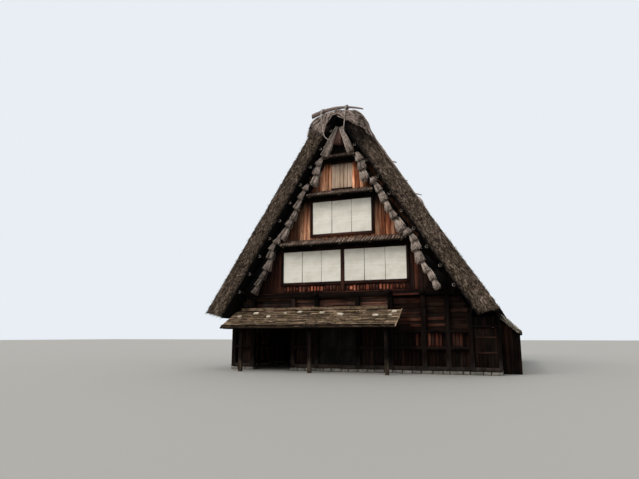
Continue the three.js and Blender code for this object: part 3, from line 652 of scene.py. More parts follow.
def ridge_cap():
    rng = default_rng(21)
    left = -CAP_RUN + CAP_LEFT_SHORT
    shell = block("shell", (left, -CAP_VERGE + 0.14, -0.19), (CAP_RUN, LENGTH + CAP_VERGE - 0.14, -0.012))
    ring_cuts(shell, 0, 31)
    ring_cuts(shell, 1, 59)
    flat = points_of(shell)
    marked(shell, flat, np.full(len(flat), 0.5))
    lock, fan_lock = straw("lock", 4, 1), straw("fan_lock", 3, 1)
    for piece, cuts in ((lock, 4), (fan_lock, 2)):
        ring_cuts(piece, 0, cuts)
        reshaped(piece, lambda p: p * np.column_stack([0 * p[:, 0] + 1, *[1.1 - 1.6 * np.abs(p[:, 0])] * 2]))

    def places(start, ys, heights):
        count = len(start)
        return np.column_stack([start, rng.uniform(*ys, count), rng.uniform(*heights, count)])

    def locks(name, middle, turn, length, thick, tone):
        lean = np.column_stack([np.cos(turn), np.sin(turn), np.zeros(len(turn))]) * np.c_[length]
        axes = framed(lean, np.tile([0.0, 0, 1], (len(turn), 1)), thick * 1.5, thick)
        return laid(name, [lock], middle, axes, tone, seed=22)

    count = 900
    start = rng.uniform(left + 0.3, CAP_RUN - 0.3, count)
    middle = places(start, (-0.88, LENGTH + 0.88), (-0.02, 0.012))
    top = locks("top", middle, rng.normal(0, 0.1, count), rng.uniform(0.5, 1.2, count),
                rng.uniform(0.02, 0.042, count), rng.uniform(0.65, 1.5, count))
    count = 520
    on_left = rng.random(count) < 0.5
    start = np.where(on_left, left + rng.uniform(0, 0.3, count), CAP_RUN - rng.uniform(0.0, 0.3, count))
    middle = places(start, (-0.9, LENGTH + 0.9), (-0.03, 0.02))
    fringe = locks("fringe", middle, rng.normal(0, 0.16, count), rng.uniform(0.3, 0.6, count),
                   rng.uniform(0.018, 0.036, count), rng.uniform(0.6, 1.5, count))
    layers = []
    count = 130
    for end in (1.44, 1.92, 2.5):  # how far down the right side each layer's cut ends lie
        run = rng.uniform(0.35, 0.6, count)
        middle = places(end - run / 2 + rng.normal(0, 0.03, count), (-0.92, 0.3), (-0.01, 0.03))
        layers.append(locks("layer", middle, rng.normal(0, 0.08, count), run, rng.uniform(0.022, 0.04, count),
                            rng.choice([0.2, 0.5, 0.9, 1.4], count)))
    over = one_of("over", shell, top, fringe, *layers)
    reshaped(over, over_ridge)
    front = fan(fan_lock, 23)
    back = turned(front, "back_fan")
    gone(lock, fan_lock)
    cap = one_of("ridge_straw", over, front, back)
    low, high = -CAP_VERGE - 0.012, LENGTH + CAP_VERGE - 0.001
    return reshaped(cap, lambda p: np.column_stack([p[:, 0], np.clip(p[:, 1], low, high), p[:, 2]]))


def straw_finish(name, dark, light, mottle, moss=0.0, drift=0.15, roughness=0.9, bump=0.8, depth=0.02):
    """Straw from dark to light, its tone drifting up and down from place to place by so much."""
    def colour(tree):
        place = place_in(tree)
        share = mask(tree, noise(tree, place, (2.6, 2.6, 2.6), 3.0), 0.38, 0.62)
        drifted = plus(tree, 1 - drift, times(tree, share, 2 * drift))
        stem = placed(tree, straw_group, {
            "Stems": own(tree, "grain"), "Place": place, "Tone": times(tree, own(tree, "tone"), drifted),
            "Dark": srgb(*dark), "Light": srgb(*light), "Mottle": mottle})
        return placed(tree, moss_group, {"Colour": stem["Colour"], "Amount": moss})["Colour"], stem["Height"]

    return finish(name, colour, roughness, bump, depth)


ridge_straw = straw_finish("ridge_straw", (62, 50, 48), (232, 208, 194), 6.0, moss=0.1, drift=0.4, depth=0.03)
settle(ridge_cap(), ridge_straw, "reed", "ridge_thatch")


# Ridge poles. A long pole runs along the ridge over the straw, and five bowed logs lie across it,
# thick end to the left, each lashed to the pole with straw rope.
POLE_Z = 12.805
POLE_WIDE = 0.13
LOG_Z = 12.93
LOG_WIDE = 0.26
LOG_BOW = 0.26  # how far its ends hang below its middle
LOG_HALF = 1.34
LOG_YS = np.linspace(-0.7, LENGTH + 0.7, 5)
LOG_SHIFTS = (0, -0.42, -0.18, -0.3, 0)
LASHING_Z = 12.868
LASHING_TURNS = 6


def stick(name, sides, rings, taper=1.0, wear=0.0):
    """A round pole along X, a unit long and thick."""
    made = ring_cuts(straw(name, sides, taper), 0, rings)
    if wear:
        run = points_of(made)[:, 0]
        reshaped(worn(made, 0.12, wear), lambda p: np.column_stack([run, p[:, 1:]]))
    return made


def ring(name, thick, sides=16, round_sides=5):
    """One turn of rope about X, a unit across."""
    bpy.ops.object.select_all(action="DESELECT")
    bpy.ops.mesh.primitive_torus_add(
        major_segments=sides, minor_segments=round_sides, major_radius=0.5, minor_radius=thick / 2,
        rotation=(0, pi / 2, 0),
    )
    piece = bpy.context.object
    piece.name = name
    return applied(piece)


def lengthwise(run, wide):
    """Edge vectors of a round pole that lies along the house."""
    return [(0, run, 0), (-wide, 0, 0), (0, 0, wide)]


def ridge_logs():
    log = stick("log", 14, 23, 0.36, 0.08)
    size = (2 * LOG_HALF, LOG_WIDE, LOG_WIDE)
    reshaped(log, lambda p: p * size - np.outer((2 * p[:, 0]) ** 2, (0, 0, LOG_BOW)))
    middle = [(x, y, LOG_Z) for x, y in zip(LOG_SHIFTS, LOG_YS)]
    logs = laid("logs", [log], middle, np.tile(np.eye(3), (5, 1, 1)), [1.0, 0.9, 1.1, 0.95, 1.05], seed=31)
    pole = stick("pole", 10, 79, 1, 0.1)
    axes = [lengthwise(LENGTH + 2 * VERGE, POLE_WIDE)]
    long_pole = laid("pole", [pole], [(0, LENGTH / 2, POLE_Z)], axes, [0.9])
    gone(log, pole)
    return one_of("ridge_logs", logs, long_pole)


def ridge_lashings():
    turn = ring("turn", 0.07)
    middle, axes, tone = [], [], []
    for y in LOG_YS:
        for k in range(LASHING_TURNS):
            from_middle = k - (LASHING_TURNS - 1) / 2
            yaw = radians(45 if k % 2 else -45) + 0.05 * from_middle
            across = np.array([cos(yaw), sin(yaw), 0])
            middle.append((0.022 * from_middle, y, LASHING_Z))
            axes.append((across * 0.26, np.cross((0, 0, 1), across) * 0.26, (0, 0, 0.25)))
            tone.append(0.3 + 0.1 * (k % 3))
    lashings = laid("ridge_lashings", [turn], middle, axes, tone, seed=32)
    gone(turn)
    return lashings


def grain_nodes(tree, given):
    """Sawn and split wood along X: broad bands, fine streaks, cracks, and a few knots."""
    grain = given["Grain"]
    streak = noise(tree, grain, (1.1, 24, 24), 6.0)
    band = noise(tree, grain, (0.5, 4.5, 4.5), 2.0)
    hair = noise(tree, grain, (3, 130, 130), 2.0)
    knots = node(tree, "TexVoronoi", {"Vector": spread(tree, grain, (1.3, 6, 6)), "Scale": 1.0})
    knot = times(tree, mask(tree, knots.outputs["Distance"], 0.17, 0.07), given["Knots"])
    sunk = calc(tree, "MAXIMUM", knot, times(tree, mask(tree, streak, 0.38, 0.31), 0.7))
    colour = mixed(tree, mask(tree, streak, 0.36, 0.56), given["Dark"], given["Middle"])
    pale = times(tree, mask(tree, band, 0.42, 0.66), mask(tree, hair, 0.35, 0.6))
    colour = mixed(tree, pale, colour, given["Light"])
    colour = mixed(tree, times(tree, sunk, 0.8), colour, (0.006, 0.004, 0.003, 1))
    raised = plus(tree, times(tree, streak, 0.7), times(tree, hair, 0.3))
    return {"Colour": toned(tree, colour, given["Tone"]),
            "Height": calc(tree, "SUBTRACT", raised, times(tree, sunk, 0.4)),
            "Roughness": plus(tree, 0.68, times(tree, band, 0.3))}


grain_group = group(
    "wood_grain",
    {"Grain": ("Vector", None), "Tone": ("Float", 1.0), "Dark": ("Color", None), "Middle": ("Color", None),
     "Light": ("Color", None), "Knots": ("Float", 0.5)},
    {"Colour": "Color", "Height": "Float", "Roughness": "Float"},
    grain_nodes,
)


def weather_nodes(tree, given):
    """A grey bloom in patches, pale, splashed feet near the ground, and painted shade under an eave, near
    black from one level to another.
    """
    place = place_in(tree)
    height = parts_of(tree, place)[2]
    patch = mask(tree, noise(tree, place, (1.7, 1.7, 0.8), 5.0), 0.45, 0.68)
    splash = mask(tree, noise(tree, place, (6, 6, 2.5), 5.0), 0.3, 0.6)
    splash = times(tree, mask(tree, height, 0.75, 0.1), splash)
    share = calc(tree, "MAXIMUM", times(tree, patch, given["Amount"]), times(tree, splash, given["Foot"]))
    bloomed = mixed(tree, share, given["Colour"], given["Bloom"])
    cloud = calc(tree, "SUBTRACT", noise(tree, place, (5, 5, 1.5)), 0.5)
    # Painted shade under an eave: near black from one level up to the next.
    eave_shade = mask(tree, plus(tree, height, times(tree, cloud, 0.5)), given["Eave shade from"], given["Eave shade to"])
    return {"Colour": mixed(tree, eave_shade, bloomed, (0.008, 0.006, 0.005, 1))}


weather_group = group(
    "weather",
    {"Colour": ("Color", None), "Bloom": ("Color", None), "Amount": ("Float", 0.3), "Foot": ("Float", 0.5),
     "Eave shade from": ("Float", 0.0), "Eave shade to": ("Float", 1.0)},
    {"Colour": "Color"},
    weather_nodes,
)
NO_EAVE_SHADE = (100.0, 101.0)  # levels far above the house


def wood(name, dark, middle, light, knots=0.5, bloom=0.25, foot=0.0, bloom_colour=(128, 120, 110),
         along=None, eave_shade=NO_EAVE_SHADE, gloss=0.1, litter=None):
    """Wood of three tones, with its grain where its boards' own points say, or where `along` does."""
    def colour(tree):
        grain, tone = (along(tree), 1.0) if along else (own(tree, "grain"), own(tree, "tone"))
        grown = placed(tree, grain_group, {
            "Grain": grain, "Tone": tone, "Knots": knots,
            "Dark": srgb(*dark), "Middle": srgb(*middle), "Light": srgb(*light)})
        seen = placed(tree, weather_group, {
            "Colour": grown["Colour"], "Amount": bloom, "Foot": foot, "Bloom": srgb(*bloom_colour),
            "Eave shade from": eave_shade[0], "Eave shade to": eave_shade[1]})["Colour"]
        return litter(tree, seen) if litter else seen, grown["Height"], grown["Roughness"]

    return finish(name, colour, 0.8, bump=0.6, depth=0.006, gloss=gloss)


grey_wood = wood("grey_wood", (66, 54, 52), (138, 118, 114), (190, 170, 164), bloom=0.35, foot=0.3)
rope_straw = straw_finish("rope_straw", (120, 110, 102), (216, 204, 192), 20.0, drift=0.0, bump=0.4,
                          depth=0.01)
settle(ridge_logs(), grey_wood, "grey_wood", "ridge_poles")
settle(ridge_lashings(), rope_straw, "rope")


# Ridge ropes. Two straw ropes go round the front log and down over the straw, and their tails end
# beside the peak.
ROPE_RADIUS = 0.027
ROPES = {
    "front_rope_left": [(-0.740, -0.825, 12.860), (-0.780, -0.972, 12.640), (-0.755, -0.972, 12.350),
                        (-0.725, -0.915, 12.040), (-0.680, -0.900, 11.700), (-0.610, -0.890, 11.420),
                        (-0.445, -0.820, 11.265)],
    "front_rope_right": [(0.500, -0.825, 12.890), (0.505, -0.972, 12.730), (0.480, -0.967, 12.450),
                         (0.440, -0.905, 12.150), (0.400, -0.895, 11.860), (0.350, -0.815, 11.710),
                         (0.360, -0.825, 11.620), (0.370, -0.835, 11.480)],
}


def bent(piece, path):
    """Bends a piece that lies along X, a unit long, along a path, the piece's Y to the right of it."""
    line = curve_through(path, 8)
    far = distances(line)
    lean = np.gradient(line, axis=0)
    side = np.cross(lean, (0.05, -1, 0.02))
    side /= np.linalg.norm(side, axis=1)[:, None]
    up = np.cross(side, lean / np.linalg.norm(lean, axis=1)[:, None])

    def move(p):
        at, across, out = (sampled(v, far, (p[:, 0] + 0.5) * far[-1]) for v in (line, side, up))
        return at + across * p[:, 1:2] + out * p[:, 2:3]

    return reshaped(piece, move)


def twisted(p, turns):
    """A round stick's points as a rope of three strands."""
    angle = np.arctan2(p[:, 2], p[:, 1])
    lobe = 0.8 + 0.2 * np.abs(np.cos(1.5 * (angle - 2 * pi * turns * p[:, 0])))
    width = np.hypot(p[:, 1], p[:, 2]) * 2 * ROPE_RADIUS * lobe
    return np.column_stack([p[:, 0], width * np.cos(angle), width * np.sin(angle)])


for name, path in ROPES.items():
    rope = stick(name, 9, 99)
    flat = points_of(rope)
    marked(rope, flat * [1.7, ROPE_RADIUS * 2, ROPE_RADIUS * 2], np.ones(len(flat)))
    reshaped(rope, lambda p: twisted(p, 12))
    outward(bent(rope, path))
    turn = ring("turn", 0.18, 14)
    x, _, z = path[0]
    middle = [(x + 0.026 * (k - 2), LOG_YS[0], z - 0.005) for k in range(5)]
    axes = [[(0.22, 0.02 * k, 0), (0, 0.22, 0), (0, 0, 0.22)] for k in range(5)]
    wraps = laid("wraps", [turn], middle, axes, [0.2, 0.7, 0.3, 0.9, 0.25])
    gone(turn)
    settle(one_of(name + "_straw", rope, wraps), rope_straw, "rope", name)


# Roof frame. Squared rafters lean together in six pairs, and round purlins lie across them, lashed on
# with straw rope. The purlins' ends stand out under the verges.
PURLIN_ZS = 3.85 + 0.88 * np.arange(10)
PURLIN_INSET = 0.066
PURLIN_PAST = 0.78
PURLIN_LASHED = 0.73
PURLIN_WIDE = 0.12
RAFTER_YS = np.linspace(0.4, LENGTH - 0.4, 6)
RAFTER_FOOT = 3.46
CUBE = ((-0.5, -0.5, -0.5), (0.5, 0.5, 0.5))  # a unit each way about the middle


def plank(name, cuts, wear, seed):
    """A board along X, a unit each way, its arrises broken and its faces worn."""
    made = block(name, *CUBE)
    ring_cuts(made, 0, cuts)
    ring_cuts(made, 1, 2)
    bevel = made.modifiers.new("arris", "BEVEL")
    bevel.width = 0.006
    bevel.limit_method = "ANGLE"
    alone(made)
    bpy.ops.object.modifier_apply(modifier="arris")
    reshaped(made, lambda p: p + [3 * seed, 0, 0])
    worn(made, 0.11, wear)
    return reshaped(made, lambda p: p - [3 * seed, 0, 0])


planks = [plank(f"plank_{k}", 7, 0.012, k) for k in range(4)]
plain_planks = [plank(f"plain_plank_{k}", 3, 0.008, k + 5) for k in range(3)]
lining = block("lining", *CUBE)
LINING = 0.25  # the tone of boards that only close a wall behind others


def roof_frame(name, side, seed):
    pole = stick("pole", 9, 39, 1, 0.10)
    count = len(PURLIN_ZS)
    middle = [(side * soffit_x(z, PURLIN_INSET), LENGTH / 2, z) for z in PURLIN_ZS]
    axes = [lengthwise(LENGTH + 2 * PURLIN_PAST, PURLIN_WIDE)] * count
    purlins = laid("purlins", [pole], middle, axes, np.full(count, 1.0), seed=seed)
    gone(pole)
    count = len(RAFTER_YS)
    foot = np.array([side * soffit_x(RAFTER_FOOT, 0.21), 0, RAFTER_FOOT])
    head = np.array([side * 0.06, 0, APEX - 0.47])
    middle = (foot + head) / 2 + np.outer(RAFTER_YS, (0, 1, 0))
    length = np.tile(head - foot, (count, 1))
    axes = framed(length, np.tile([0.0, 1, 0], (count, 1)), np.full(count, 0.21), np.full(count, 0.2))
    rafters = laid("rafters", planks, middle, axes, np.full(count, 0.9), keep=0.02, seed=seed + 1)
    return one_of(name, purlins, rafters)


def purlin_lashings(name, side):
    turn = ring("turn", 0.12, 10, 4)
    middle, axes, tone = [], [], []
    for z in PURLIN_ZS:
        x = side * soffit_x(z, PURLIN_INSET)
        for end in (-PURLIN_LASHED, LENGTH + PURLIN_LASHED):
            for k in range(2):
                middle.append((x, end + 0.02 * (k - 0.5), z - 0.004))
                axes.append(((0, 0.13, 0), (-0.13, 0, 0), (0, 0.015 * (-1) ** k, 0.13)))
                tone.append(2.0)
    made = laid(name, [turn], middle, axes, tone, seed=34)
    gone(turn)
    return made


old_timber = wood("old_timber", (10, 8, 7), (25, 19, 17), (52, 41, 36), bloom=0.07, foot=0.4)
for side, name in ((-1, "left"), (1, "right")):
    settle(roof_frame("roof_frame_poles_" + name, side, 33), old_timber, "old_timber", "roof_frame_" + name)
    settle(purlin_lashings("purlin_lashings_" + name, side), rope_straw, "rope")


# Verge reeds. Sheaves of reed hang in steps under each verge, in front of the gable's sloping edges.
# Each is tied at its top, out of sight under the next, and its cut ends spread downwards.
REED_FEET = (  # how far from the middle a foot hangs, how high, and its width
    (4.590, 3.74, 0.29), (4.420, 4.11, 0.28), (4.150, 4.48, 0.27), (3.890, 4.91, 0.40), (3.720, 5.48, 0.42),
    (3.640, 5.90, 0.33), (3.370, 6.24, 0.42), (3.090, 6.44, 0.42), (2.730, 7.06, 0.34), (2.490, 7.41, 0.29),
    (2.300, 7.93, 0.34), (2.070, 8.41, 0.31), (1.810, 8.87, 0.33), (1.340, 9.08, 0.40), (1.215, 9.59, 0.43),
    (1.125, 10.07, 0.36),
)
REEDS_TOP = 10.44
REEDS_FRONT = -0.70
REED_LEAN = (tan(radians(12)), tan(radians(27)))


def both_ends(piece, material, slot, *nodes):
    """Settles a piece of the front end and the like one at the back. A node is named without its end."""
    name = piece.name
    back = turned(piece, "back_" + name)
    piece.name = piece.data.name = "front_" + name
    settle(piece, material, slot, *("front_" + n for n in nodes))
    settle(back, material, slot, *("back_" + n for n in nodes))


def sheaf(name, count, top, seed, ragged=0.25):
    """A sheaf along X, its tied top at the near end, its spread and cut foot at the far one."""
    rng = default_rng(seed)
    stem = straw("stem", 3, 0.8)
    foot = rng.uniform(-0.46, 0.46, (count, 2))
    edge = rng.random(count) < 0.45
    foot[edge, 0] = np.sign(foot[edge, 0]) * rng.uniform(0.40, 0.49, edge.sum())
    foot *= rng.uniform(1 - 0.2 * ragged, 1 + 0.2 * ragged, (count, 1))
    cut = np.where(rng.random(count) < ragged, rng.uniform(0.25, 0.52, count), rng.uniform(0.46, 0.5, count))
    ends = np.column_stack([cut, foot])
    tops = np.column_stack([np.full(count, -0.5), foot * top + rng.normal(0, 0.025, (count, 2))])
    thick = rng.uniform(0.05, 0.085, count)
    axes = framed(ends - tops, np.tile([0.0, 0, 1], (count, 1)), thick, thick)
    tone = rng.choice([0.7, 0.9, 1.15, 1.5], count)
    stems = laid("stems", [stem], (ends + tops) / 2, axes, tone, seed=seed)
    gone(stem)
    core = block("core", (-0.5, -0.36, -0.38), (0.42, 0.36, 0.38))
    reshaped(core, lambda p: p * np.column_stack([0 * p[:, 0] + 1, *[np.where(p[:, 0] < 0, top, 1)] * 2]))
    marked(core, points_of(core), np.full(8, 0.3))
    return one_of(name, stems, core)


def keep_tones(piece, masters, tone):
    """Gives the copies in a piece their masters' own tones, each times the copy's."""
    tones = []
    for turn, master in enumerate(masters):
        mine = np.empty(len(master.data.vertices))
        master.data.attributes["tone"].data.foreach_get("value", mine)
        tones += [mine * t for t in tone[turn::len(masters)]]
    piece.data.attributes["tone"].data.foreach_set("value", np.concatenate(tones))


def verge_reeds(side, name, seed):
    rng = default_rng(seed)
    ragged = 0.25 if side < 0 else 0.8
    masters = [sheaf(f"sheaf_{k}", 125, top, seed + k, ragged) for k, top in enumerate((0.36, 0.5, 0.42))]
    middle, axes, tone = [], [], []
    heads = [*REED_FEET[1:], (REED_FEET[-1][0] - 0.2, REEDS_TOP, 0)]
    for (x, z, wide), (next_x, next_z, _) in zip(REED_FEET, heads):
        lean = np.clip((x - next_x) / (next_z - z), *REED_LEAN) + rng.uniform(-0.06, 0.06)
        down = np.array([side * lean, -0.20, -1.0])
        down /= np.linalg.norm(down)
        run = next_z - z + rng.uniform(0.12, 0.22)
        foot = np.array([side * x, REEDS_FRONT + rng.uniform(0.2, 0.26), z])
        across = np.cross(down, (0, 1, 0))
        across /= np.linalg.norm(across)
        middle.append(foot - down * run / 2)
        axes.append((down * run, np.cross(across, down) * 0.38, across * wide * (1.0 if side < 0 else 1.2)))
        tone.append(rng.uniform(0.75, 1.3) * (np.interp(z, (4, 6.5), (0.5, 0.95)) if side < 0 else 1.3))
    bed = np.linspace(0, 1, 9)[:, None]  # reed behind them, up to the soffit, near black as painted shade
    low, high = (np.array([side * (soffit_x(z, 0.14) - 0.3), -0.34, z]) for z in (4.3, REEDS_TOP - 0.5))
    middle += list(low + (high - low) * bed)
    steep = (low - high) / np.linalg.norm(low - high)
    axes += [(steep * 1.1, (0, 0.3, 0), np.cross(steep, (0, 1, 0)) * 0.42)] * len(bed)
    # Near black: painted shade, as this bed lies deep in the verge's shade.
    tone += [0.02] * len(bed)
    reeds = laid(name, masters, middle, axes, tone, seed=seed)
    keep_tones(reeds, masters, tone)
    gone(*masters)
    return reeds


reed = straw_finish("reed", (62, 52, 48), (236, 214, 198), 7.0, bump=0.7)
for side, name in ((-1, "left"), (1, "right")):
    both_ends(verge_reeds(side, "verge_reeds_" + name, 41 + side), reed, "reed", "reeds_" + name)


# Peak reeds. Two long sheaves lean together under the apex as an upside-down V, on the topmost eave,
# with a redder one hung between their tops. Each has the x and z of its top and foot, its width and its y.
PEAK_PAIR = [((-0.08, 12.02), (-0.78, 10.52), 0.42, -0.47), ((0.12, 11.98), (0.62, 10.62), 0.38, -0.47)]
PEAK_MIDDLE = [((0.02, 11.98), (-0.1, 11.12), 0.44, -0.42)]


def peak_reeds(name, places, tones):
    masters = [sheaf(f"sheaf_{k}", 220, 0.35 + 0.15 * k, 45 + k) for k in range(len(places))]
    rows = []
    for top, foot, wide, y in places:
        top, foot = np.array([top[0], y, top[1]]), np.array([foot[0], y, foot[1]])
        down = foot - top
        across = np.cross(down / np.linalg.norm(down), (0, 1, 0))
        rows.append(((top + foot) / 2, (down, (0, 0.3, 0), across * wide)))
    reeds = laid(name, masters, [r[0] for r in rows], [r[1] for r in rows], np.ones(len(rows)), seed=46)
    keep_tones(reeds, masters, tones)
    gone(*masters)
    return reeds


red_reed = straw_finish("red_reed", (50, 36, 32), (176, 132, 118), 9.0, bump=0.7)
both_ends(peak_reeds("peak_reeds", PEAK_PAIR, [1.1, 1.35]), reed, "reed", "reeds_peak")
both_ends(peak_reeds("peak_reeds_middle", PEAK_MIDDLE, [0.8]), red_reed, "reed")


# Gables. Behind the reeds each storey of the end wall is of upright boards with dark timbers about its
# openings. A row of short red boards stands under the second storey's screens.
STOREYS = {"2f": (3.70, 6.24), "3f": (6.24, 8.86), "4f": (8.86, 10.78), "peak": (10.78, 12.1)}
GABLE_Y = (-0.04, 0.06)
SURROUND = 0.13
SURROUND_Y = -0.10
OPENINGS = {
    "2f": [(-3.14, -0.08, 4.25, 5.84), (0.08, 3.14, 4.25, 5.84)],
    "3f": [(-1.56, 1.50, 6.64, 8.33)],
    "4f": [(-0.54, 0.54, 8.95, 10.22)],
    "peak": [],
}
GABLE_TONES = {  # how far out the boards on the left and on the right darken, as painted shade of the verges, and how light they start
    "2f": (0.9, 0.9, 0.85), "3f": (0.8, 1.5, 1.1), "4f": (1.2, 1.2, 1.5), "peak": (2.0, 2.0, 1.0),
}


def cuts_between(start, stop, width, rng):
    """Cuts a run into boards of uneven width, and yields where each starts and stops."""
    count = max(1, round((stop - start) / width))
    marks = np.arange(count + 1.0)
    marks[1:-1] += rng.uniform(-0.18, 0.18, count - 1)
    marks = start + (stop - start) * marks / count
    return list(zip(marks[:-1], marks[1:]))


def timbers(name, rows, masters=None, seed=1, keep=0.02):
    """Boards or beams, each given by its low and high corner, the axis of its grain and its tone."""
    made = []
    for hidden, shapes in ((False, masters or planks), (True, [lining])):
        middle, axes, tones = [], [], []
        for low, high, axis, tone in rows:
            if (tone == LINING) == hidden:
                low, high = np.array(low, float), np.array(high, float)
                middle.append((low + high) / 2)
                axes.append(np.diag(high - low)[[axis, (axis + 1) % 3, (axis + 2) % 3]])
                tones.append(tone)
        if middle:
            made.append(laid(name, shapes, middle, axes, tones, keep=keep, seed=seed))
    return one_of(name, *made)


def soffit_z(x, inset=0.0):
    return APEX - tan(SOFFIT_ANGLE) * (abs(x) + inset / sin(SOFFIT_ANGLE))


def gable_boards(storey, width, seed):
    """Upright boards from each opening's side out to the soffit, the darker the further out (painted shade
    of the verge), on a dark lining."""
    rng = default_rng(seed)
    low, high = STOREYS[storey]
    openings = OPENINGS[storey]
    framing = 0.0 if storey in ("4f", "peak") else SURROUND
    *reaches, bright = GABLE_TONES[storey]
    rows = []
    for side, dark_by in zip((-1, 1), reaches):
        start = max([side * o[side > 0] for o in openings], default=0) + framing
        stop = soffit_x(low, 0.1)
        for a, b in cuts_between(start, stop, width, rng):
            top = min(high, soffit_z(a, 0.05))
            front = GABLE_Y[0] + rng.uniform(0, 0.014)
            x = sorted((side * (a + 0.003), side * (b - 0.003)))
            # Painted shade of the verge: a board darkens the further it stands from the opening.
            tone = rng.uniform(0.4, 1.5) * bright * (1.1 - min(0.95, (a - start) / dark_by))
            if top - low > 0.12:
                rows.append(((x[0], front, low), (x[1], GABLE_Y[1] - 0.02, top), 2, tone))
                rows.append(((x[0] - 0.01, 0.03, low), (x[1] + 0.01, GABLE_Y[1], top), 2, LINING))
    front = GABLE_Y[0] + 0.01
    for left, right, bottom, top in openings:
        for a, b in cuts_between(left - framing, right + framing, width, rng):
            rows.append(((a, front, low), (b, GABLE_Y[1], bottom - 0.02), 2, rng.uniform(0.3, 0.8)))
            # The boards over an opening are darker than those under it: painted shade under the small eave.
            rows.append(((a, front, top + 0.02), (b, GABLE_Y[1], high), 2, rng.uniform(0.2, 0.4)))
    return timbers("gable_boards_" + storey, rows, seed=seed)


def surround(storey, sides, foot):
    """Timbers about a storey's openings, their sides and feet as light as these tones."""
    rows = []
    for left, right, bottom, top in OPENINGS[storey]:
        out = SURROUND
        if storey != "4f":
            rows += [
                ((left - out, SURROUND_Y, bottom - out), (left, 0.06, top + out), 2, sides),
                ((right, SURROUND_Y, bottom - out), (right + out, 0.06, top + out), 2, sides),
            ]
        rows += [
            ((left - 0.02, SURROUND_Y - 0.006, bottom - out), (right + 0.02, 0.06, bottom), 0, foot),
            # The head and a strip over it are near black: painted shade under the small eave.
            ((left - 0.02, SURROUND_Y - 0.004, top), (right + 0.02, 0.06, top + out), 0, 0.25),
            ((left - 0.2, SURROUND_Y + 0.02, top + 0.1), (right + 0.2, 0.0, top + 0.2), 0, 0.2),
        ]
    return rows


def window_timbers():
    rows = surround("2f", 0.5, 0.7) + surround("3f", 0.4, 1.3) + surround("4f", 0.7, 0.8)
    low = STOREYS["2f"][0]
    rows.append(((-3.3, -0.085, low + 0.004), (3.3, 0.06, low + 0.1), 0, 0.9))
    rows.append(((-5.2, -0.055, low + 0.002), (5.2, 0.06, low + 0.07), 0, 0.7))
    rows.append(((-0.09, SURROUND_Y - 0.01, low + 0.1), (0.09, 0.06, OPENINGS["2f"][0][3]), 2, 0.9))
    return timbers("window_timbers", rows, seed=52)


def short_boards():
    rng = default_rng(53)
    low = STOREYS["2f"][0] + 0.1
    rows = []
    for side in (-1, 1):
        for a, b in cuts_between(0.2, 3.1, 0.165, rng):
            gap = rng.uniform(0.04, 0.08)
            x = sorted((side * (a + gap / 2), side * (b - gap / 2)))
            foot, head = low + rng.uniform(0.0, 0.05), low + rng.uniform(0.20, 0.28)
            front = -0.075 - rng.uniform(0, 0.008)
            rows.append(((x[0], front, foot), (x[1], -0.03, head), 2, rng.choice([0.25, 0.6, 1.0, 1.5])))
    return timbers("short_boards", rows, seed=54)


# Painted shade under the second storey's small eave: the boards go near black from 5.2 m up to 5.9 m.
dim_boards = wood("dim_boards", (18, 10, 9), (52, 27, 21), (104, 58, 40), knots=0.9, bloom=0.03,
                  eave_shade=(5.2, 5.9))
fire_boards = wood("fire_boards", (62, 26, 18), (122, 62, 44), (184, 112, 84), knots=0.6, bloom=0.08)
both_ends(gable_boards("2f", 0.2, 51), dim_boards, "red_boards", "gable_2f")
# Painted shade under each small eave: the boards go near black between the two levels given.
for storey, width, eave_shade in (("3f", 0.19, (7.0, 8.4)), ("4f", 0.17, (9.95, 10.35))):
    red_boards = wood("red_boards_" + storey, (56, 24, 16), (172, 98, 64), (246, 192, 152), knots=1.0,
                      bloom=0.05, eave_shade=eave_shade)
    both_ends(gable_boards(storey, width, 55 + len(storey)), red_boards, "red_boards", "gable_" + storey)
both_ends(gable_boards("peak", 0.2, 57), old_timber, "old_timber", "gable_peak")
window_wood = wood("window_wood", (11, 7, 7), (33, 17, 14), (84, 48, 38), bloom=0.05, gloss=0.05)
both_ends(window_timbers(), window_wood, "old_timber")
both_ends(short_boards(), fire_boards, "red_boards")


# Screens. Light frames papered on their outer side slide in two tracks, three to a bay. The paper is a
# little slack, and the frame's bars just show through it.
SCREEN_THICK = 0.03
SCREEN_Y = -0.06
SCREEN_GAP = 0.010


def paper_screen(name, seed):
    """A screen a unit each way across its thin axis Y, its paper set a little behind its rim."""
    made = block(name, *CUBE)
    alone(made)
    bpy.ops.object.mode_set(mode="EDIT")
    bpy.ops.mesh.select_mode(type="FACE")
    bpy.ops.mesh.select_all(action="DESELECT")
    mesh = bmesh.from_edit_mesh(made.data)
    for face in mesh.faces:
        face.select = face.normal.y < -0.9
    bmesh.update_edit_mesh(made.data)
    bpy.ops.mesh.inset(thickness=0.018)
    bpy.ops.transform.translate(value=(0, 0.07, 0))
    bpy.ops.mesh.subdivide(number_cuts=9)
    bpy.ops.object.mode_set(mode="OBJECT")
    rng = default_rng(seed)
    phase = rng.uniform(0, 6, 4)

    def slack(p):
        """Waves of the paper, none at its rim."""
        x, y, z = p.T
        inside = np.clip((0.48 - np.abs(x)) / 0.12, 0, 1) * np.clip((0.48 - np.abs(z)) / 0.08, 0, 1)
        wave = np.sin(9 * x + phase[0]) * np.sin(7 * z + phase[1]) + 0.6 * np.sin(15 * z + phase[2])
        return np.column_stack([x, y + np.where(y < 0, 0.035, 0) * inside * wave, z])

    return reshaped(made, slack)


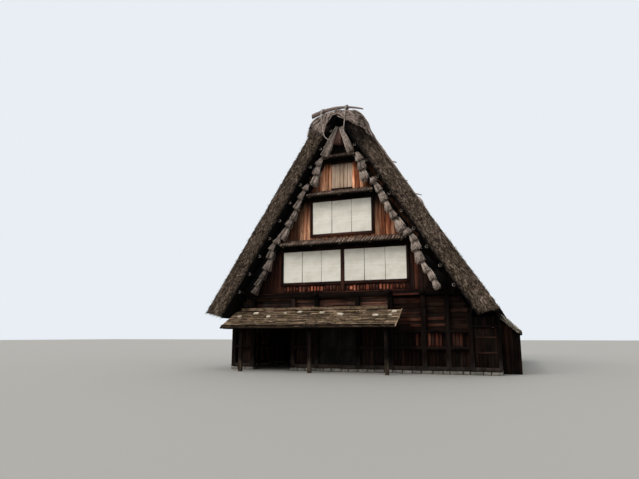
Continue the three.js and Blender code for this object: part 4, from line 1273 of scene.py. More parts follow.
def screens(name, opening, seed):
    rng = default_rng(seed)
    left, right, bottom, top = opening
    masters = [paper_screen(f"screen_{k}", seed + k) for k in range(3)]
    middle, axes = [], []
    for k in range(3):
        a, b = left + (right - left) * k / 3 + SCREEN_GAP, left + (right - left) * (k + 1) / 3 - SCREEN_GAP
        y = SCREEN_Y + SCREEN_THICK / 2 + (k % 2) * 0.012
        middle.append(((a + b) / 2, y, (bottom + top) / 2))
        axes.append(((b - a, 0, 0.004 * rng.normal()), (0, SCREEN_THICK, 0), (0, 0, top - bottom - 0.036)))
    tone = rng.uniform(0.9, 0.97, 3) * (1.1 if bottom > 6 else 1)  # the upper storey's paper is a tenth lighter
    made = laid(name, masters, middle, axes, tone, seed=seed)
    gone(*masters)
    flat = points_of(made) - [0, 0, bottom]
    made.data.attributes["grain"].data.foreach_set("vector", flat.ravel())
    return made


def paper_colour(tree):
    """Off-white paper, yellowed in patches, with the bars behind it showing faintly."""
    place = own(tree, "grain")
    x, _, z = parts_of(tree, place)
    rails = mask(tree, calc(tree, "PINGPONG", z, 0.26), 0.012, 0.005)
    stiles = mask(tree, calc(tree, "PINGPONG", x, 0.042), 0.014, 0.004)
    bars = calc(tree, "MAXIMUM", rails, times(tree, stiles, 0.7))
    stain = mask(tree, noise(tree, place, (1.5, 1.5, 2.5), 5.0), 0.42, 0.7)
    seen = mixed(tree, stain, srgb(240, 234, 220), srgb(222, 215, 199))
    seen = mixed(tree, times(tree, bars, 0.2), seen, srgb(184, 176, 160))
    seam = mask(tree, calc(tree, "ABSOLUTE", calc(tree, "SUBTRACT", z, 0.79)), 0.022, 0.008)
    seen = mixed(tree, times(tree, seam, 0.7), seen, srgb(244, 240, 230))
    return toned(tree, seen, own(tree, "tone")), noise(tree, place, (26, 26, 26), 4.0)


paper = finish("paper", paper_colour, 0.85, bump=0.15, depth=0.002)
for number, (bay, opening) in enumerate(zip(("2f_left", "2f_right", "3f"), OPENINGS["2f"] + OPENINGS["3f"])):
    both_ends(screens("screens_" + bay, opening, 61 + number), paper, "paper", "windows_" + bay)


def tracks():
    rows = []
    for left, right, bottom, top in OPENINGS["2f"] + OPENINGS["3f"]:
        for z in ((bottom, bottom + 0.02), (top - 0.02, top)):
            rows.append(((left, SCREEN_Y - 0.012, z[0]), (right, SCREEN_Y + 0.07, z[1]), 0, 1.0))
        rows.append(((left, 0.012, bottom), (right, 0.03, top), 2, LINING))
    return timbers("screen_tracks", rows, plain_planks, seed=64)


both_ends(tracks(), old_timber, "old_timber")


# Hatch. Upright boards, weathered to a pale grey, close the opening of the fourth storey. They stand edge
# to edge in one row.
def hatch():
    rng = default_rng(65)
    left, right, bottom, top = OPENINGS["4f"][0]
    rows = []
    for a, b in cuts_between(left, right, 0.21, rng):
        front = -0.05 + rng.uniform(0, 0.01)
        rows.append(((a + 0.003, front, bottom), (b - 0.003, -0.01, top), 2, rng.uniform(0.8, 1.15)))
    return timbers("hatch_boards", rows, seed=66)


# Painted shade under the top small eave: the hatch goes near black from 10.05 m up.
pale_boards = wood("pale_boards", (150, 120, 98), (214, 182, 156), (238, 212, 188), knots=0.3, bloom=0.2,
                   eave_shade=(10.05, 10.35))
both_ends(hatch(), pale_boards, "grey_wood", "hatch_4f")


# Small eaves. Over the screens and the hatch a short roof of split boards rests on arms that stand out
# of the wall. Narrow boards lie down its slope over the joints of wider ones.
EAVE_REACH = 0.58
EAVE_DROP = 0.27
EAVES = {  # the height of each one's front edge, half its length, how many arms it has and how light it is
    "2f": (6.04, 3.12, 5, 1.0), "3f": (8.50, 1.72, 3, 0.9), "4f": (10.40, 0.865, 2, 0.55),
}


def eave(storey, z, half, arms, light, seed):
    rng = default_rng(seed)
    back = GABLE_Y[0]
    down = np.array([0, -EAVE_REACH, -EAVE_DROP])
    out = np.array([0, -EAVE_DROP, EAVE_REACH]) / np.hypot(EAVE_REACH, EAVE_DROP)
    unit = down / np.linalg.norm(down)
    middle, axes, tones = [], [], []

    def lay(x, wide, start, stop, lift, thick, tone, skew=0.0):
        run = unit * (stop - start) + np.array([skew, 0, 0])
        at = np.array([x, back, z + EAVE_DROP]) + unit * (start + stop) / 2 + out * lift
        across = np.cross(out, run / np.linalg.norm(run))
        middle.append(at)
        axes.append((run, across * wide, out * thick))
        tones.append(tone * light)

    whole = np.linalg.norm(down)
    # The wider boards are near black where they show between the narrow ones: painted shade of the gaps.
    for a, b in cuts_between(-half, half, 0.16, rng):
        lay((a + b) / 2, b - a - 0.004, 0.0, whole - rng.uniform(0, 0.02), 0.02, 0.03, rng.uniform(0.08, 0.2))
    for a, b in cuts_between(-half, half, 0.145, rng):
        x = np.clip((a + b) / 2, -half + 0.05, half - 0.05)
        lay(x, rng.uniform(0.06, 0.085), 0.0, whole - rng.uniform(0, 0.05), 0.06, 0.05, rng.uniform(0.8, 1.8),
            rng.normal(0, 0.012))
    for a, b in cuts_between(-half + 0.03, half - 0.03, 0.3, rng):
        wide = b - a - rng.uniform(0.01, 0.06)
        lay((a + b) / 2, wide, 0.0, rng.uniform(0.05, 0.09), 0.09, 0.035, rng.uniform(0.3, 0.9))
    top = laid("top", plain_planks, middle, axes, tones, keep=0.02, seed=seed)
    middle, axes, tones = [], [], []
    for k in range(arms):
        lay((half - 0.12) * (2 * k / (arms - 1) - 1), 0.08, -0.02, whole - 0.07, -0.055, 0.075, 0.5)
    rest = laid("arms", plain_planks, middle, axes, tones, keep=0.02, seed=seed + 1)
    front = back - EAVE_REACH
    edge = timbers("edge", [((-half, front + 0.06, z + 0.01), (half, front + 0.10, z + 0.04), 0, 0.2)],
                   plain_planks, seed=seed + 2)
    return one_of("small_eave_" + storey, top, rest, edge)


bark = wood("bark", (56, 42, 36), (118, 96, 84), (176, 154, 136), knots=0.2, bloom=0.2)
for number, (storey, (z, half, arms, light)) in enumerate(EAVES.items()):
    both_ends(eave(storey, z, half, arms, light, 71 + 3 * number), bark, "shingle", "eave_" + storey)


# Floors of the upper storeys. Their sooty boards run across the house, and the second one lies on cross
# beams. They keep the solids' own shapes.
FLOOR_BOARD = 0.24


def floor_grain(tree):
    """Boards along X, each with grain of its own."""
    x, y, z = parts_of(tree, place_in(tree))
    board = calc(tree, "FLOOR", calc(tree, "DIVIDE", y, FLOOR_BOARD))
    return node(tree, "CombineXYZ", {0: plus(tree, x, times(tree, board, 7.3)), 1: y, 2: z}).outputs[0]


sooty_wood = wood("sooty_wood", (18, 14, 12), (40, 31, 26), (64, 51, 43), bloom=0.05, along=floor_grain)
for name in ("floor_2f", "beams_2f", "floor_3f", "floor_4f"):
    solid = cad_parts[name]
    solid.data.materials.clear()
    solid.data.materials.append(sooty_wood)


# Footing. One course of rough stones rings the walls and carries their sills. It is left open at the
# entrance.
FLANK_OUT = 5.97
AISLE_OUT = 7.09
FOOTING_TOP = 0.149
FRAME_FACE = -0.12
BACK_FACE = LENGTH - FRAME_FACE
FRONT_POSTS = (-5.86, -4.815, -2.588, -1.35, 0.731, 2.306, 3.825, 4.883, 5.86)
POST = 0.11  # half a post's side


def boulder(name, seed, round_off=0.35):
    """A rough stone, a unit each way."""
    made = block(name, *CUBE)
    alone(made)
    bpy.ops.object.mode_set(mode="EDIT")
    bpy.ops.mesh.select_all(action="SELECT")
    bpy.ops.mesh.subdivide(number_cuts=4)
    bpy.ops.object.mode_set(mode="OBJECT")

    def rounded(p):
        return p * (1 - round_off) + 0.56 * round_off * p / np.linalg.norm(p, axis=1)[:, None] + 3 * seed

    reshaped(made, rounded)
    worn(made, 0.35, 0.14)
    return reshaped(made, lambda p: (p - 3 * seed) * 1.08)


def footing_stones():
    rng = default_rng(81)
    front, back, left = FRAME_FACE - 0.02, BACK_FACE + 0.02, -FLANK_OUT - 0.02
    runs = [
        (0, left, FRONT_POSTS[1] + POST, front, front + 0.3),
        (0, FRONT_POSTS[2] - POST, AISLE_OUT, front, front + 0.3),
        (0, left, AISLE_OUT, back - 0.3, back),
        (1, front + 0.3, back - 0.3, left, left + 0.3),
        (1, front + 0.3, back - 0.3, AISLE_OUT - 0.18, AISLE_OUT),
    ]
    rows = []
    for axis, start, stop, near, far in runs:
        for a, b in cuts_between(start, stop, 0.42, rng):
            low, high = [0, 0, 0.006], [0, 0, FOOTING_TOP - rng.uniform(0, 0.012)]
            low[axis], high[axis] = a + 0.004, b - 0.004
            low[1 - axis], high[1 - axis] = near, far
            rows.append((low, high, axis, rng.uniform(0.75, 1.2)))
    masters = [boulder(f"stone_{k}", k, 0.16) for k in range(4)]
    stones = timbers("footing_stones", rows, masters, seed=82, keep=0)
    gone(*masters)
    return stones


def stone_finish(name, dark, light):
    def colour(tree):
        place = own(tree, "grain")
        shade, speck = noise(tree, place, (4, 4, 4), 6.0), noise(tree, place, (40, 40, 40), 3.0)
        share = mask(tree, plus(tree, times(tree, shade, 0.6), times(tree, speck, 0.4)), 0.36, 0.64)
        return toned(tree, mixed(tree, share, srgb(*dark), srgb(*light)), own(tree, "tone")), shade

    return finish(name, colour, 0.9, bump=0.5, depth=0.01)


stone = stone_finish("stone", (84, 80, 74), (146, 140, 130))
settle(footing_stones(), stone, "stone", "footing")


# Front frame. Squared posts stand on a sill, tied by rails, a lintel and a long beam whose neighbours'
# round ends stand out beneath the gable.
SILL = (0.15, 0.33)
RAIL = (1.05, 1.2)
UPPER_RAIL = (1.8, 1.92)
LINTEL = (2.02, 2.22)
GREAT_BEAM = (3.48, 3.7)
PLATE = (2.69, 2.87)
POST_FOOT = 0.15
BOARD_Y = (0.1, 0.15)
BEAM_HALF = soffit_x(GREAT_BEAM[1], 0.15) - 0.04
PORCH_END = FRONT_POSTS[5]
PALE_POST = FRONT_POSTS[2]
PALE_FROM = 2.9  # how high it turns pale
ROUND_END = (-0.191, 3.64, 0.298, 0.26)  # y and z of its middle, how long it is and how wide


def post_top(x):
    return PLATE[0] if abs(x) > 5 else GREAT_BEAM[0] + 0.01


def front_frame():
    rng = default_rng(83)
    back = BOARD_Y[0] - 0.0004
    rows = []
    for x in FRONT_POSTS:
        tone, top = rng.uniform(0.8, 1.3), post_top(x)
        for low, high, share in ((POST_FOOT, PALE_FROM, 1), (PALE_FROM, top, 5 if x == PALE_POST else 1)):
            if high > low:
                rows.append(((x - POST, FRAME_FACE, low), (x + POST, back, min(high, top)), 2, tone * share))
    for start, stop, (low, high), out, tone in (
        (FRONT_POSTS[0], FRONT_POSTS[1], SILL, 0, 2.0), (FRONT_POSTS[2], FRONT_POSTS[8], SILL, 0, 2.0),
        (FRONT_POSTS[0], FRONT_POSTS[1], RAIL, 0, 1.2), (FRONT_POSTS[2], FRONT_POSTS[3], RAIL, 0, 1.2),
        (FRONT_POSTS[4], FRONT_POSTS[8], RAIL, 0, 1.5), (PORCH_END, FRONT_POSTS[8], UPPER_RAIL, 0, 0.8),
        (FRONT_POSTS[0], PORCH_END, LINTEL, 0, 0.8), (-BEAM_HALF, BEAM_HALF, GREAT_BEAM, 0.04, 0.9),
    ):
        rows.append(((start, FRAME_FACE + 0.02 - out, low), (stop, back, high), 0, tone))
    squared = timbers("squared", rows, seed=84)
    log = stick("log", 14, 9, 1, 0.12)
    y, z, run, wide = ROUND_END
    middle = [(x, y, z) for x in (FRONT_POSTS[3], PORCH_END, FRONT_POSTS[6])]
    round_ends = laid("round_ends", [log], middle, [lengthwise(run, wide)] * 3, [1, 0.8, 1], seed=85)
    gone(log)
    return one_of("front_timbers", squared, round_ends)


# A darker copy of old_timber for the ground storey: dark sooty wood, darkened further as painted shade of the
# deep eaves and porch.
front_timber_shaded = wood("front_timber_shaded", (5, 4, 3), (12, 8, 7), (34, 22, 18), bloom=0.015, foot=0.15, gloss=0.03)
settle(front_frame(), front_timber_shaded, "old_timber", "front_frame")


# Wall boards behind the front frame. Level ones fill the bays over the porch and high on the right,
# upright ones stand between the rails below.
BOARD_FOOT = 0.23
EAVE_BOARDS = 2.96  # how high the plain boards over the porch go
WORN_BOARDS = 3.42  # and how high the worn ones over them
RED_UPRIGHTS = ((3.96, 4, 0.42), (5.02, 3, 0.16), (3.42, 1, 0.16))  # each row's start, count and tone
RED_PATCHES = (  # where each level board starts and stops, and how high it lies
    (2.6, 3.68, 2.62), (2.5, 3.70, 2.33), (3.2, 3.70, 2.06), (3.96, 4.72, 2.36), (3.96, 4.76, 2.08),
)


def boards_across(start, stop, low, high, depth, width, rng, tone=(0.6, 1.4), under=0.15):
    """Level boards from one post to the next, kept under the soffits."""
    rows = []
    for bottom, top in cuts_between(low, high, width, rng):
        reach = soffit_x(top, under)
        a, b = max(start, -reach), min(stop, reach)
        if b - a > 0.1:
            front = depth[0] - rng.uniform(0, 0.015)
            back = depth[1]
            rows.append(((a, front, bottom + 0.004), (b, back - 0.01, top - 0.004), 0, rng.uniform(*tone)))
            rows.append(((a, back - 0.015, bottom - 0.01), (b, back, top + 0.01), 0, LINING))
    return rows


def boards_upright(start, stop, low, high, depth, width, rng, tone=(0.6, 1.4)):
    rows = []
    slip = min(0.015, (depth[1] - depth[0]) / 3)
    for a, b in cuts_between(start, stop, width, rng):
        front = depth[0] - rng.uniform(0, slip)
        rows.append(((a + 0.003, front, low), (b - 0.003, depth[1], high), 2, rng.uniform(*tone)))
    rows.append(((start, depth[1] - slip, low), (stop, depth[1] + 0.001, high), 2, LINING))
    return rows


def bays(first, last):
    """The clear runs between the front posts, from one to another."""
    edges = FRONT_POSTS[first:last + 1]
    return [(a + POST - 0.02, b - POST + 0.02) for a, b in zip(edges[:-1], edges[1:])]


def front_sheets():
    rng = default_rng(86)
    left, entry, middle, over, right, red = [], [], [], [], [], []
    for rows, start, stop in (
        (left, -FLANK_OUT, FRONT_POSTS[1] + POST), (entry, FRONT_POSTS[2] - POST, FRONT_POSTS[3] + POST),
        (middle, FRONT_POSTS[4] - POST, PORCH_END - 0.001),
    ):
        rows += boards_upright(start, stop, BOARD_FOOT, LINTEL[1], BOARD_Y, 0.2, rng)
    for (a, b), light in zip(bays(0, 5), (0.12, 0.18, 1.0, 0.8, 1.1)):
        over += boards_across(a, b, LINTEL[1] + 0.001, EAVE_BOARDS, BOARD_Y, 0.2, rng, (0.5, 0.8))
        over += boards_across(a, b, EAVE_BOARDS, WORN_BOARDS, BOARD_Y, 0.15, rng, (0.5 * light, 1.8 * light))
        over += boards_across(a, b, WORN_BOARDS, GREAT_BEAM[1], BOARD_Y, 0.3, rng, (0.5, 0.8))
    for a, b in bays(5, 8):
        right += boards_upright(a, b, BOARD_FOOT, RAIL[0] + 0.02, BOARD_Y, 0.17, rng, (0.45, 0.9))
        right += boards_upright(a, b, RAIL[1] - 0.02, UPPER_RAIL[0] + 0.02, BOARD_Y, 0.17, rng, (0.45, 0.9))
        right += boards_across(a, b, UPPER_RAIL[1] - 0.02, 3.45, BOARD_Y, 0.28, rng, (0.7, 1.4))
    near, far = BOARD_Y[0] - 0.03, BOARD_Y[0] + 0.01
    for start, count, tone in RED_UPRIGHTS:
        for k in range(count):
            x = start + 0.17 * k
            low, high = (x, near + 0.002, RAIL[1]), (x + rng.uniform(0.12, 0.15), far, UPPER_RAIL[0])
            red.append((low, high, 2, tone * rng.uniform(0.4, 1.7)))
    for a, b, z in RED_PATCHES:
        red.append(((a, near, z), (b, far, z + rng.uniform(0.1, 0.14)), 0, rng.uniform(0.18, 0.34)))
    red.append(((PORCH_END + 0.16, -0.17, 3.50), (FRONT_POSTS[6] - 0.14, -0.03, 3.60), 0, 0.4))
    red.append(((PORCH_END + 0.13, 0.06, 3.13), (3.7, 0.11, 3.38), 0, 0.16))
    return left, entry, middle, over, right, red


left, entry, middle, over, right, red = front_sheets()
# Near black: dark wood, darkened further as painted shade of the ground storey under the eaves.
dark_boards = wood("dark_boards", (8, 6, 5), (23, 15, 12), (56, 35, 26), bloom=0.03, gloss=0.03)
worn_boards = wood("worn_boards", (18, 12, 10), (46, 29, 23), (142, 96, 78), knots=0.8, bloom=0.1)
for number, (name, rows) in enumerate((("left", left), ("entry", entry), ("middle", middle))):
    boards = timbers("wall_boards_" + name, rows, seed=87 + number)
    settle(boards, dark_boards, "dark_boards", "front_boards_" + name)
settle(timbers("wall_boards_over", over, seed=90), worn_boards, "dark_boards", "front_boards_over")
settle(timbers("wall_boards_right", right, seed=91), dark_boards, "dark_boards", "front_boards_right")
settle(timbers("wall_boards_red", red, seed=92), fire_boards, "red_boards")


# Sliding doors. Each is a frame of stiles and rails, with upright boards below its middle rail and a dusty
# panel above it. One slides behind the other, between the sill and the lintel.
DOOR_RAIL = (1.06, 1.18)
STILE = 0.07
DOORS = {  # where each starts and stops, its front and its back
    "left": (-1.234, -0.2795, 0.008, 0.038), "right": (-0.3395, 0.615, -0.038, -0.008),
}


def sliding_door(name, start, stop, near, far, seed):
    rng = default_rng(seed)
    low, high = SILL[1] + 0.006, LINTEL[0] - 0.006
    a, b = start + STILE - 0.01, stop - STILE + 0.01
    rows = [
        ((start, near, low), (start + STILE, far, high), 2, 1.0),
        ((stop - STILE, near, low), (stop, far, high), 2, 1.1),
        ((a, near, low), (b, far, low + 0.1), 0, 0.9),
        ((a, near, DOOR_RAIL[0]), (b, far, DOOR_RAIL[1]), 0, 1.4),
        ((a, near, high - 0.08), (b, far, high), 0, 0.9),
    ]
    for foot, head, depth, width, tone in (
        (low + 0.08, DOOR_RAIL[0] + 0.01, (near + 0.018, far - 0.003), 0.14, (0.5, 1.0)),
        (DOOR_RAIL[1] - 0.01, high - 0.07, (near + 0.019, far - 0.005), 0.42, (1.5, 1.8)),
    ):
        rows += boards_upright(a, b, foot, head, depth, width, rng, tone)
    return timbers(name, rows, plain_planks, seed=seed)


# Near black: dark boards, darkened further as painted shade under the porch.
door_boards = wood("door_boards", (7, 6, 5), (14, 12, 10), (30, 26, 22), bloom=0.05)
for number, (name, place) in enumerate(DOORS.items()):
    leaf = sliding_door("door_leaf_" + name, *place, 93 + number)
    settle(leaf, door_boards, "dark_boards", "sliding_door_" + name, body=name + "_door")


# Flanks and back: posts, sill, rail and plate with upright boards between them. The right-hand posts
# stand open to the aisle.
FLANK_Y = (0.155, LENGTH - 0.155)
FLANK_POSTS = LENGTH / 8 * np.arange(1, 8)
FLANK_IN = 5.75
AISLE_WALL_TOP = 2.45
AISLE_POST = 0.16


def flank_posts(near, far, foot, rng):
    """The posts of a flank between two planes, up to its plate."""
    top = PLATE[0] + 0.005
    return [((near, y - POST, foot), (far, y + POST, top), 2, rng.uniform(0.8, 1.3)) for y in FLANK_POSTS]


def left_wall():
    rng = default_rng(95)
    rows = flank_posts(-FLANK_OUT, -FLANK_IN, POST_FOOT, rng)
    for low, high in (SILL, RAIL, PLATE):
        rows.append(((-FLANK_OUT + 0.015, FLANK_Y[0], low), (-FLANK_IN, FLANK_Y[1], high), 1, 1.0))
    low, high = SILL[1] - 0.01, PLATE[0] + 0.01
    edges = [FLANK_Y[0], *FLANK_POSTS, FLANK_Y[1]]
    for start, stop in zip(edges[:-1], edges[1:]):
        for a, b in cuts_between(start, stop, 0.24, rng):
            out = -5.88 - rng.uniform(0, 0.012)
            rows.append(((out, a + 0.003, low), (-5.84, b - 0.003, high), 2, rng.uniform(0.9, 1.8)))
    return timbers("left_flank", rows, seed=96)


def right_posts():
    rng = default_rng(97)
    rows = flank_posts(FLANK_IN, FLANK_OUT, 0, rng)
    rows.append(((FLANK_IN, FLANK_Y[0], PLATE[0]), (FLANK_OUT, FLANK_Y[1], PLATE[1]), 1, 1.0))
    return timbers("right_flank", rows, seed=98)


def back_wall():
    rng = default_rng(99)
    front = LENGTH - BOARD_Y[1]
    rows = [((-x - POST, front, POST_FOOT), (-x + POST, BACK_FACE, post_top(x)), 2, 1.0) for x in FRONT_POSTS]
    for start, stop, (low, high) in (
        (-FLANK_OUT + 0.02, AISLE_OUT, SILL), (-FLANK_OUT + 0.02, AISLE_OUT, RAIL),
        (FRONT_POSTS[0], FRONT_POSTS[8], UPPER_RAIL), (-BEAM_HALF, BEAM_HALF, GREAT_BEAM),
    ):
        rows.append(((start, front, low), (stop, BACK_FACE - 0.02, high), 0, 1.1))
    rows.append(((AISLE_OUT - AISLE_POST, front, POST_FOOT), (AISLE_OUT, BACK_FACE, AISLE_WALL_TOP), 2, 1.0))
    for a, b in cuts_between(-FLANK_OUT, AISLE_OUT, 0.24, rng):
        back = front + 0.05 + rng.uniform(0, 0.012)
        top = AISLE_WALL_TOP
        if b < FLANK_OUT:
            top = min(GREAT_BEAM[0] + 0.005, soffit_z(max(abs(a), abs(b)), 0.15))
        rows.append(((a + 0.003, front, SILL[1] - 0.01), (b - 0.003, back, top), 2, rng.uniform(0.9, 1.8)))
    return timbers("back_boards", rows, seed=100)


settle(left_wall(), worn_boards, "dark_boards", "left_wall")
settle(right_posts(), old_timber, "old_timber", "right_posts")
settle(back_wall(), worn_boards, "dark_boards", "back_wall")


# Aisle. Under the right eave a sill, a corner post and a lintel frame a door of planks on two battens,
# which hangs on its right-hand side. The outer wall is of upright boards and posts.
AISLE_IN = 5.975
AISLE_FACE = 0.1  # how far its front's timbers stand out before and behind
AISLE_HEAD = 2.5
AISLE_LINTEL = (2.008, 2.13)
AISLE_PLATE = (2.56, 2.66)
AISLE_DOOR = (5.995, 6.922, 0.338, 2.0)  # its sides, foot and head
DOOR_BATTENS = (0.94, 1.59)


def aisle_front():
    rng = default_rng(101)
    back = AISLE_FACE
    rows = [
        ((AISLE_IN, -back, SILL[0]), (AISLE_OUT, back, SILL[1]), 0, 1.8),
        ((AISLE_OUT - AISLE_POST, -back, POST_FOOT), (AISLE_OUT, back, AISLE_HEAD), 2, 1.0),
        ((AISLE_IN, -back, AISLE_LINTEL[0]), (AISLE_OUT, back, AISLE_LINTEL[1]), 0, 0.9),
    ]
    rows += [((x - 0.025, 0.008, 0.3), (x + 0.025, 0.04, 2.03), 2, 0.5) for x in (6.0, 6.92)]
    low = AISLE_LINTEL[1] - 0.01
    rows += boards_upright(AISLE_IN, AISLE_OUT, low, AISLE_HEAD, (-0.02, 0.03), 0.2, rng, (0.6, 1.0))
    return timbers("aisle_timbers", rows, seed=102)


def aisle_door():
    rng = default_rng(103)
    start, stop, low, high = AISLE_DOOR
    rows = boards_upright(start, stop, low, high, (-0.012, 0), 0.16, rng, (0.45, 0.8))
    for z in DOOR_BATTENS:
        rows.append(((start + 0.01, -0.04, z - 0.045), (stop - 0.01, -0.01, z + 0.045), 0, 1.2))
    for x in (start, stop - 0.06):
        rows.append(((x, -0.036, low), (x + 0.06, -0.004, high), 2, 1.0))
    return timbers("plank_door", rows, plain_planks, seed=104)


def aisle_side():
    rng = default_rng(105)
    near, half = AISLE_OUT - AISLE_POST, AISLE_POST / 2
    top = AISLE_PLATE[0] + 0.005
    rows = []
    for y in FLANK_POSTS:
        rows.append(((near, y - half, POST_FOOT), (AISLE_OUT, y + half, top), 2, rng.uniform(0.8, 1.3)))
    for low, high in (SILL, RAIL, AISLE_PLATE):
        rows.append(((near, FLANK_Y[0], low), (AISLE_OUT - 0.015, FLANK_Y[1], high), 1, 1.0))
    low, high = SILL[1] - 0.01, AISLE_PLATE[0] + 0.01
    for a, b in cuts_between(*FLANK_Y, 0.24, rng):
        out = AISLE_OUT - 0.06 + rng.uniform(0, 0.012)
        rows.append(((AISLE_OUT - 0.1, a + 0.003, low), (out, b - 0.003, high), 2, rng.uniform(0.8, 1.5)))
    return timbers("aisle_boards", rows, seed=106)


settle(aisle_front(), front_timber_shaded, "old_timber", "aisle_front")
settle(aisle_door(), dark_boards, "dark_boards", "aisle_door", body="aisle_door")
settle(aisle_side(), dark_boards, "dark_boards", "aisle_side")


# Shed. Beyond the aisle, rough upright boards stand under a lean-to roof of straw, which is laid loosely
# down the slope and ragged at its ends.
SHED_Y = (0.95, 15.02)
SHED_OUT = 7.86
SHED_TOP = ((7.11, 2.6), (7.97, 1.85))
SHED_THICK = 0.19
SHED_ROOF_Y = (0.78, 15.19)


def shed_roof_z(x):
    (x0, z0), (x1, z1) = SHED_TOP
    return z0 + (z1 - z0) * (x - x0) / (x1 - x0)


def shed_walls():
    rng = default_rng(107)
    rows = []
    for y in (SHED_Y[0], SHED_Y[1] - 0.08):
        for a, b in cuts_between(AISLE_OUT - 0.045, SHED_OUT, 0.17, rng):
            top = shed_roof_z((a + b) / 2) - 0.11
            front = y + rng.uniform(0, 0.04)
            rows.append(((a - 0.004, front, 0), (b + 0.004, y + 0.08, top), 2, rng.uniform(0.5, 1.3)))
    top = shed_roof_z(SHED_OUT) - SHED_THICK - 0.004
    for a, b in cuts_between(*SHED_Y, 0.22, rng):
        out = SHED_OUT - rng.uniform(0, 0.02)
        rows.append(((SHED_OUT - 0.08, a + 0.003, 0), (out, b - 0.003, top), 2, rng.uniform(0.8, 1.4)))
    return timbers("shed_boards", rows, seed=108)


def shed_roof():
    rng = default_rng(109)
    (x0, z0), (x1, z1) = SHED_TOP
    y0, y1 = SHED_ROOF_Y
    down = np.array([x1 - x0, 0, z1 - z0])
    unit = down / np.linalg.norm(down)
    out = np.array([-unit[2], 0, unit[0]])
    masters = [straw("shed_stem", 4, 0.7)]
    middle, axes, tones = [], [], []
    for _ in range(3900):
        y = rng.uniform(y0 - 0.02, y1 + 0.02)
        share = rng.random() ** 0.7
        run = rng.uniform(0.3, 0.55)
        at = np.array([x0, y, z0]) + down * share * 0.98 - out * rng.uniform(0.0, 0.055)
        lean = unit + np.array([0, rng.normal(0, 0.13), 0]) + out * rng.normal(0.0, 0.05)
        at = at - lean * run / 2
        if at[0] - lean[0] * run / 2 < x0:
            continue
        middle.append(at)
        axes.append(lean * run)
        tones.append(rng.choice([0.3, 0.7, 1.2, 1.8]))
    for facing, y in ((-1, y0 + 0.01), (1, y1 - 0.01)):  # ragged ends at the verges
        for _ in range(420):
            lean = unit + np.array([0, facing * rng.uniform(0, 0.2), 0]) + out * rng.normal(0, 0.14)
            axes.append(lean * rng.uniform(0.12, 0.34))
            below = down * rng.uniform(0.16, 0.84) - out * rng.uniform(0.01, SHED_THICK - 0.02)
            middle.append(np.array([x0, y, z0]) + below)
            tones.append(rng.choice([0.1, 0.4, 1.0, 1.6, 2.2]))
    thick = rng.uniform(0.012, 0.03, len(axes))
    frames = framed(np.array(axes), np.tile(out, (len(axes), 1)), thick * 1.6, thick)
    straws = laid("straws", masters, middle, frames, tones, seed=110)
    gone(*masters)
    slab = block("slab", (0, y0, 0), (1, y1, 1))
    ring_cuts(slab, 1, 60)
    ring_cuts(slab, 0, 4)

    def leaning(p):
        x = x0 + (x1 - 0.02 - x0) * p[:, 0]
        return np.column_stack([x, p[:, 1], shed_roof_z(x) - 0.04 - (SHED_THICK - 0.05) * (1 - p[:, 2])])

    reshaped(slab, leaning)
    marked(slab, points_of(slab), np.full(len(slab.data.vertices), 0.2))
    return one_of("shed_straw", straws, slab)


shed_straw = straw_finish("shed_straw", (64, 58, 50), (232, 220, 200), 4.0, moss=0.05, drift=0.2,
                          roughness=0.92)
settle(shed_walls(), dark_boards, "grey_wood", "shed_walls")
settle(shed_roof(), shed_straw, "reed", "shed_roof")


# Porch frame. Three squared posts stand under a long beam, a ledger is fixed along the wall, and rafters
# lie from the one to the other.
PORCH_X = (-5.75, 2.9)
PORCH_FRONT = (-1.72, 2.03)
PORCH_WALL = (-0.1204, 2.83)
PORCH_POSTS = (-4.75, -1.2, 2.4)
PORCH_POST_Y = (-1.445, -1.275)
PORCH_BEAM_Z = (1.98, 2.15)
LEDGER_Y = -0.18


def porch_under(y):
    (y0, z0), (y1, z1) = PORCH_FRONT, PORCH_WALL
    return z0 + (z1 - z0) * (y - y0) / (y1 - y0)


def porch_frame():
    rng = default_rng(111)
    start, stop = PORCH_X[0] + 0.15, PORCH_X[1] - 0.15
    near, far = PORCH_POST_Y
    half = (far - near) / 2
    rows = []
    for x in PORCH_POSTS:
        rows.append(((x - half, near, 0), (x + half, far, PORCH_BEAM_Z[0] + 0.005), 2, rng.uniform(1.1, 1.6)))
    rows.append(((start, near + 0.015, PORCH_BEAM_Z[0]), (stop, far - 0.015, PORCH_BEAM_Z[1]), 0, 1.0))
    top = porch_under(LEDGER_Y)
    rows.append(((start, PORCH_WALL[0] - 0.06, top - 0.2), (stop, PORCH_WALL[0], top), 0, 0.8))
    squared = timbers("squared", rows, seed=112)
    tip = PORCH_FRONT[0] + 0.06
    low = np.array([0, tip, porch_under(tip) - 0.05])
    high = np.array([0, PORCH_WALL[0] - 0.005, PORCH_WALL[1] - 0.055])
    xs = np.linspace(PORCH_X[0] + 0.2, PORCH_X[1] - 0.2, 9)
    count = len(xs)
    axes = framed(np.tile(high - low, (count, 1)), np.tile([0.0, 0, 1], (count, 1)), np.full(count, 0.08),
                  np.full(count, 0.085))
    middle = (low + high) / 2 + np.outer(xs, (1, 0, 0))
    rafters = laid("rafters", plain_planks, middle, axes, np.full(count, 0.9), keep=0.02, seed=113)
    return one_of("porch_timbers", squared, rafters)


# Near black: dark wood, darkened further as painted shade under the porch roof; the fascia takes it too.
porch_wood = wood("porch_wood", (6, 4, 4), (13, 9, 8), (34, 24, 20), bloom=0.03, foot=0.45, gloss=0.03,
                  bloom_colour=(120, 104, 88))
settle(porch_frame(), porch_wood, "old_timber", "porch_frame")


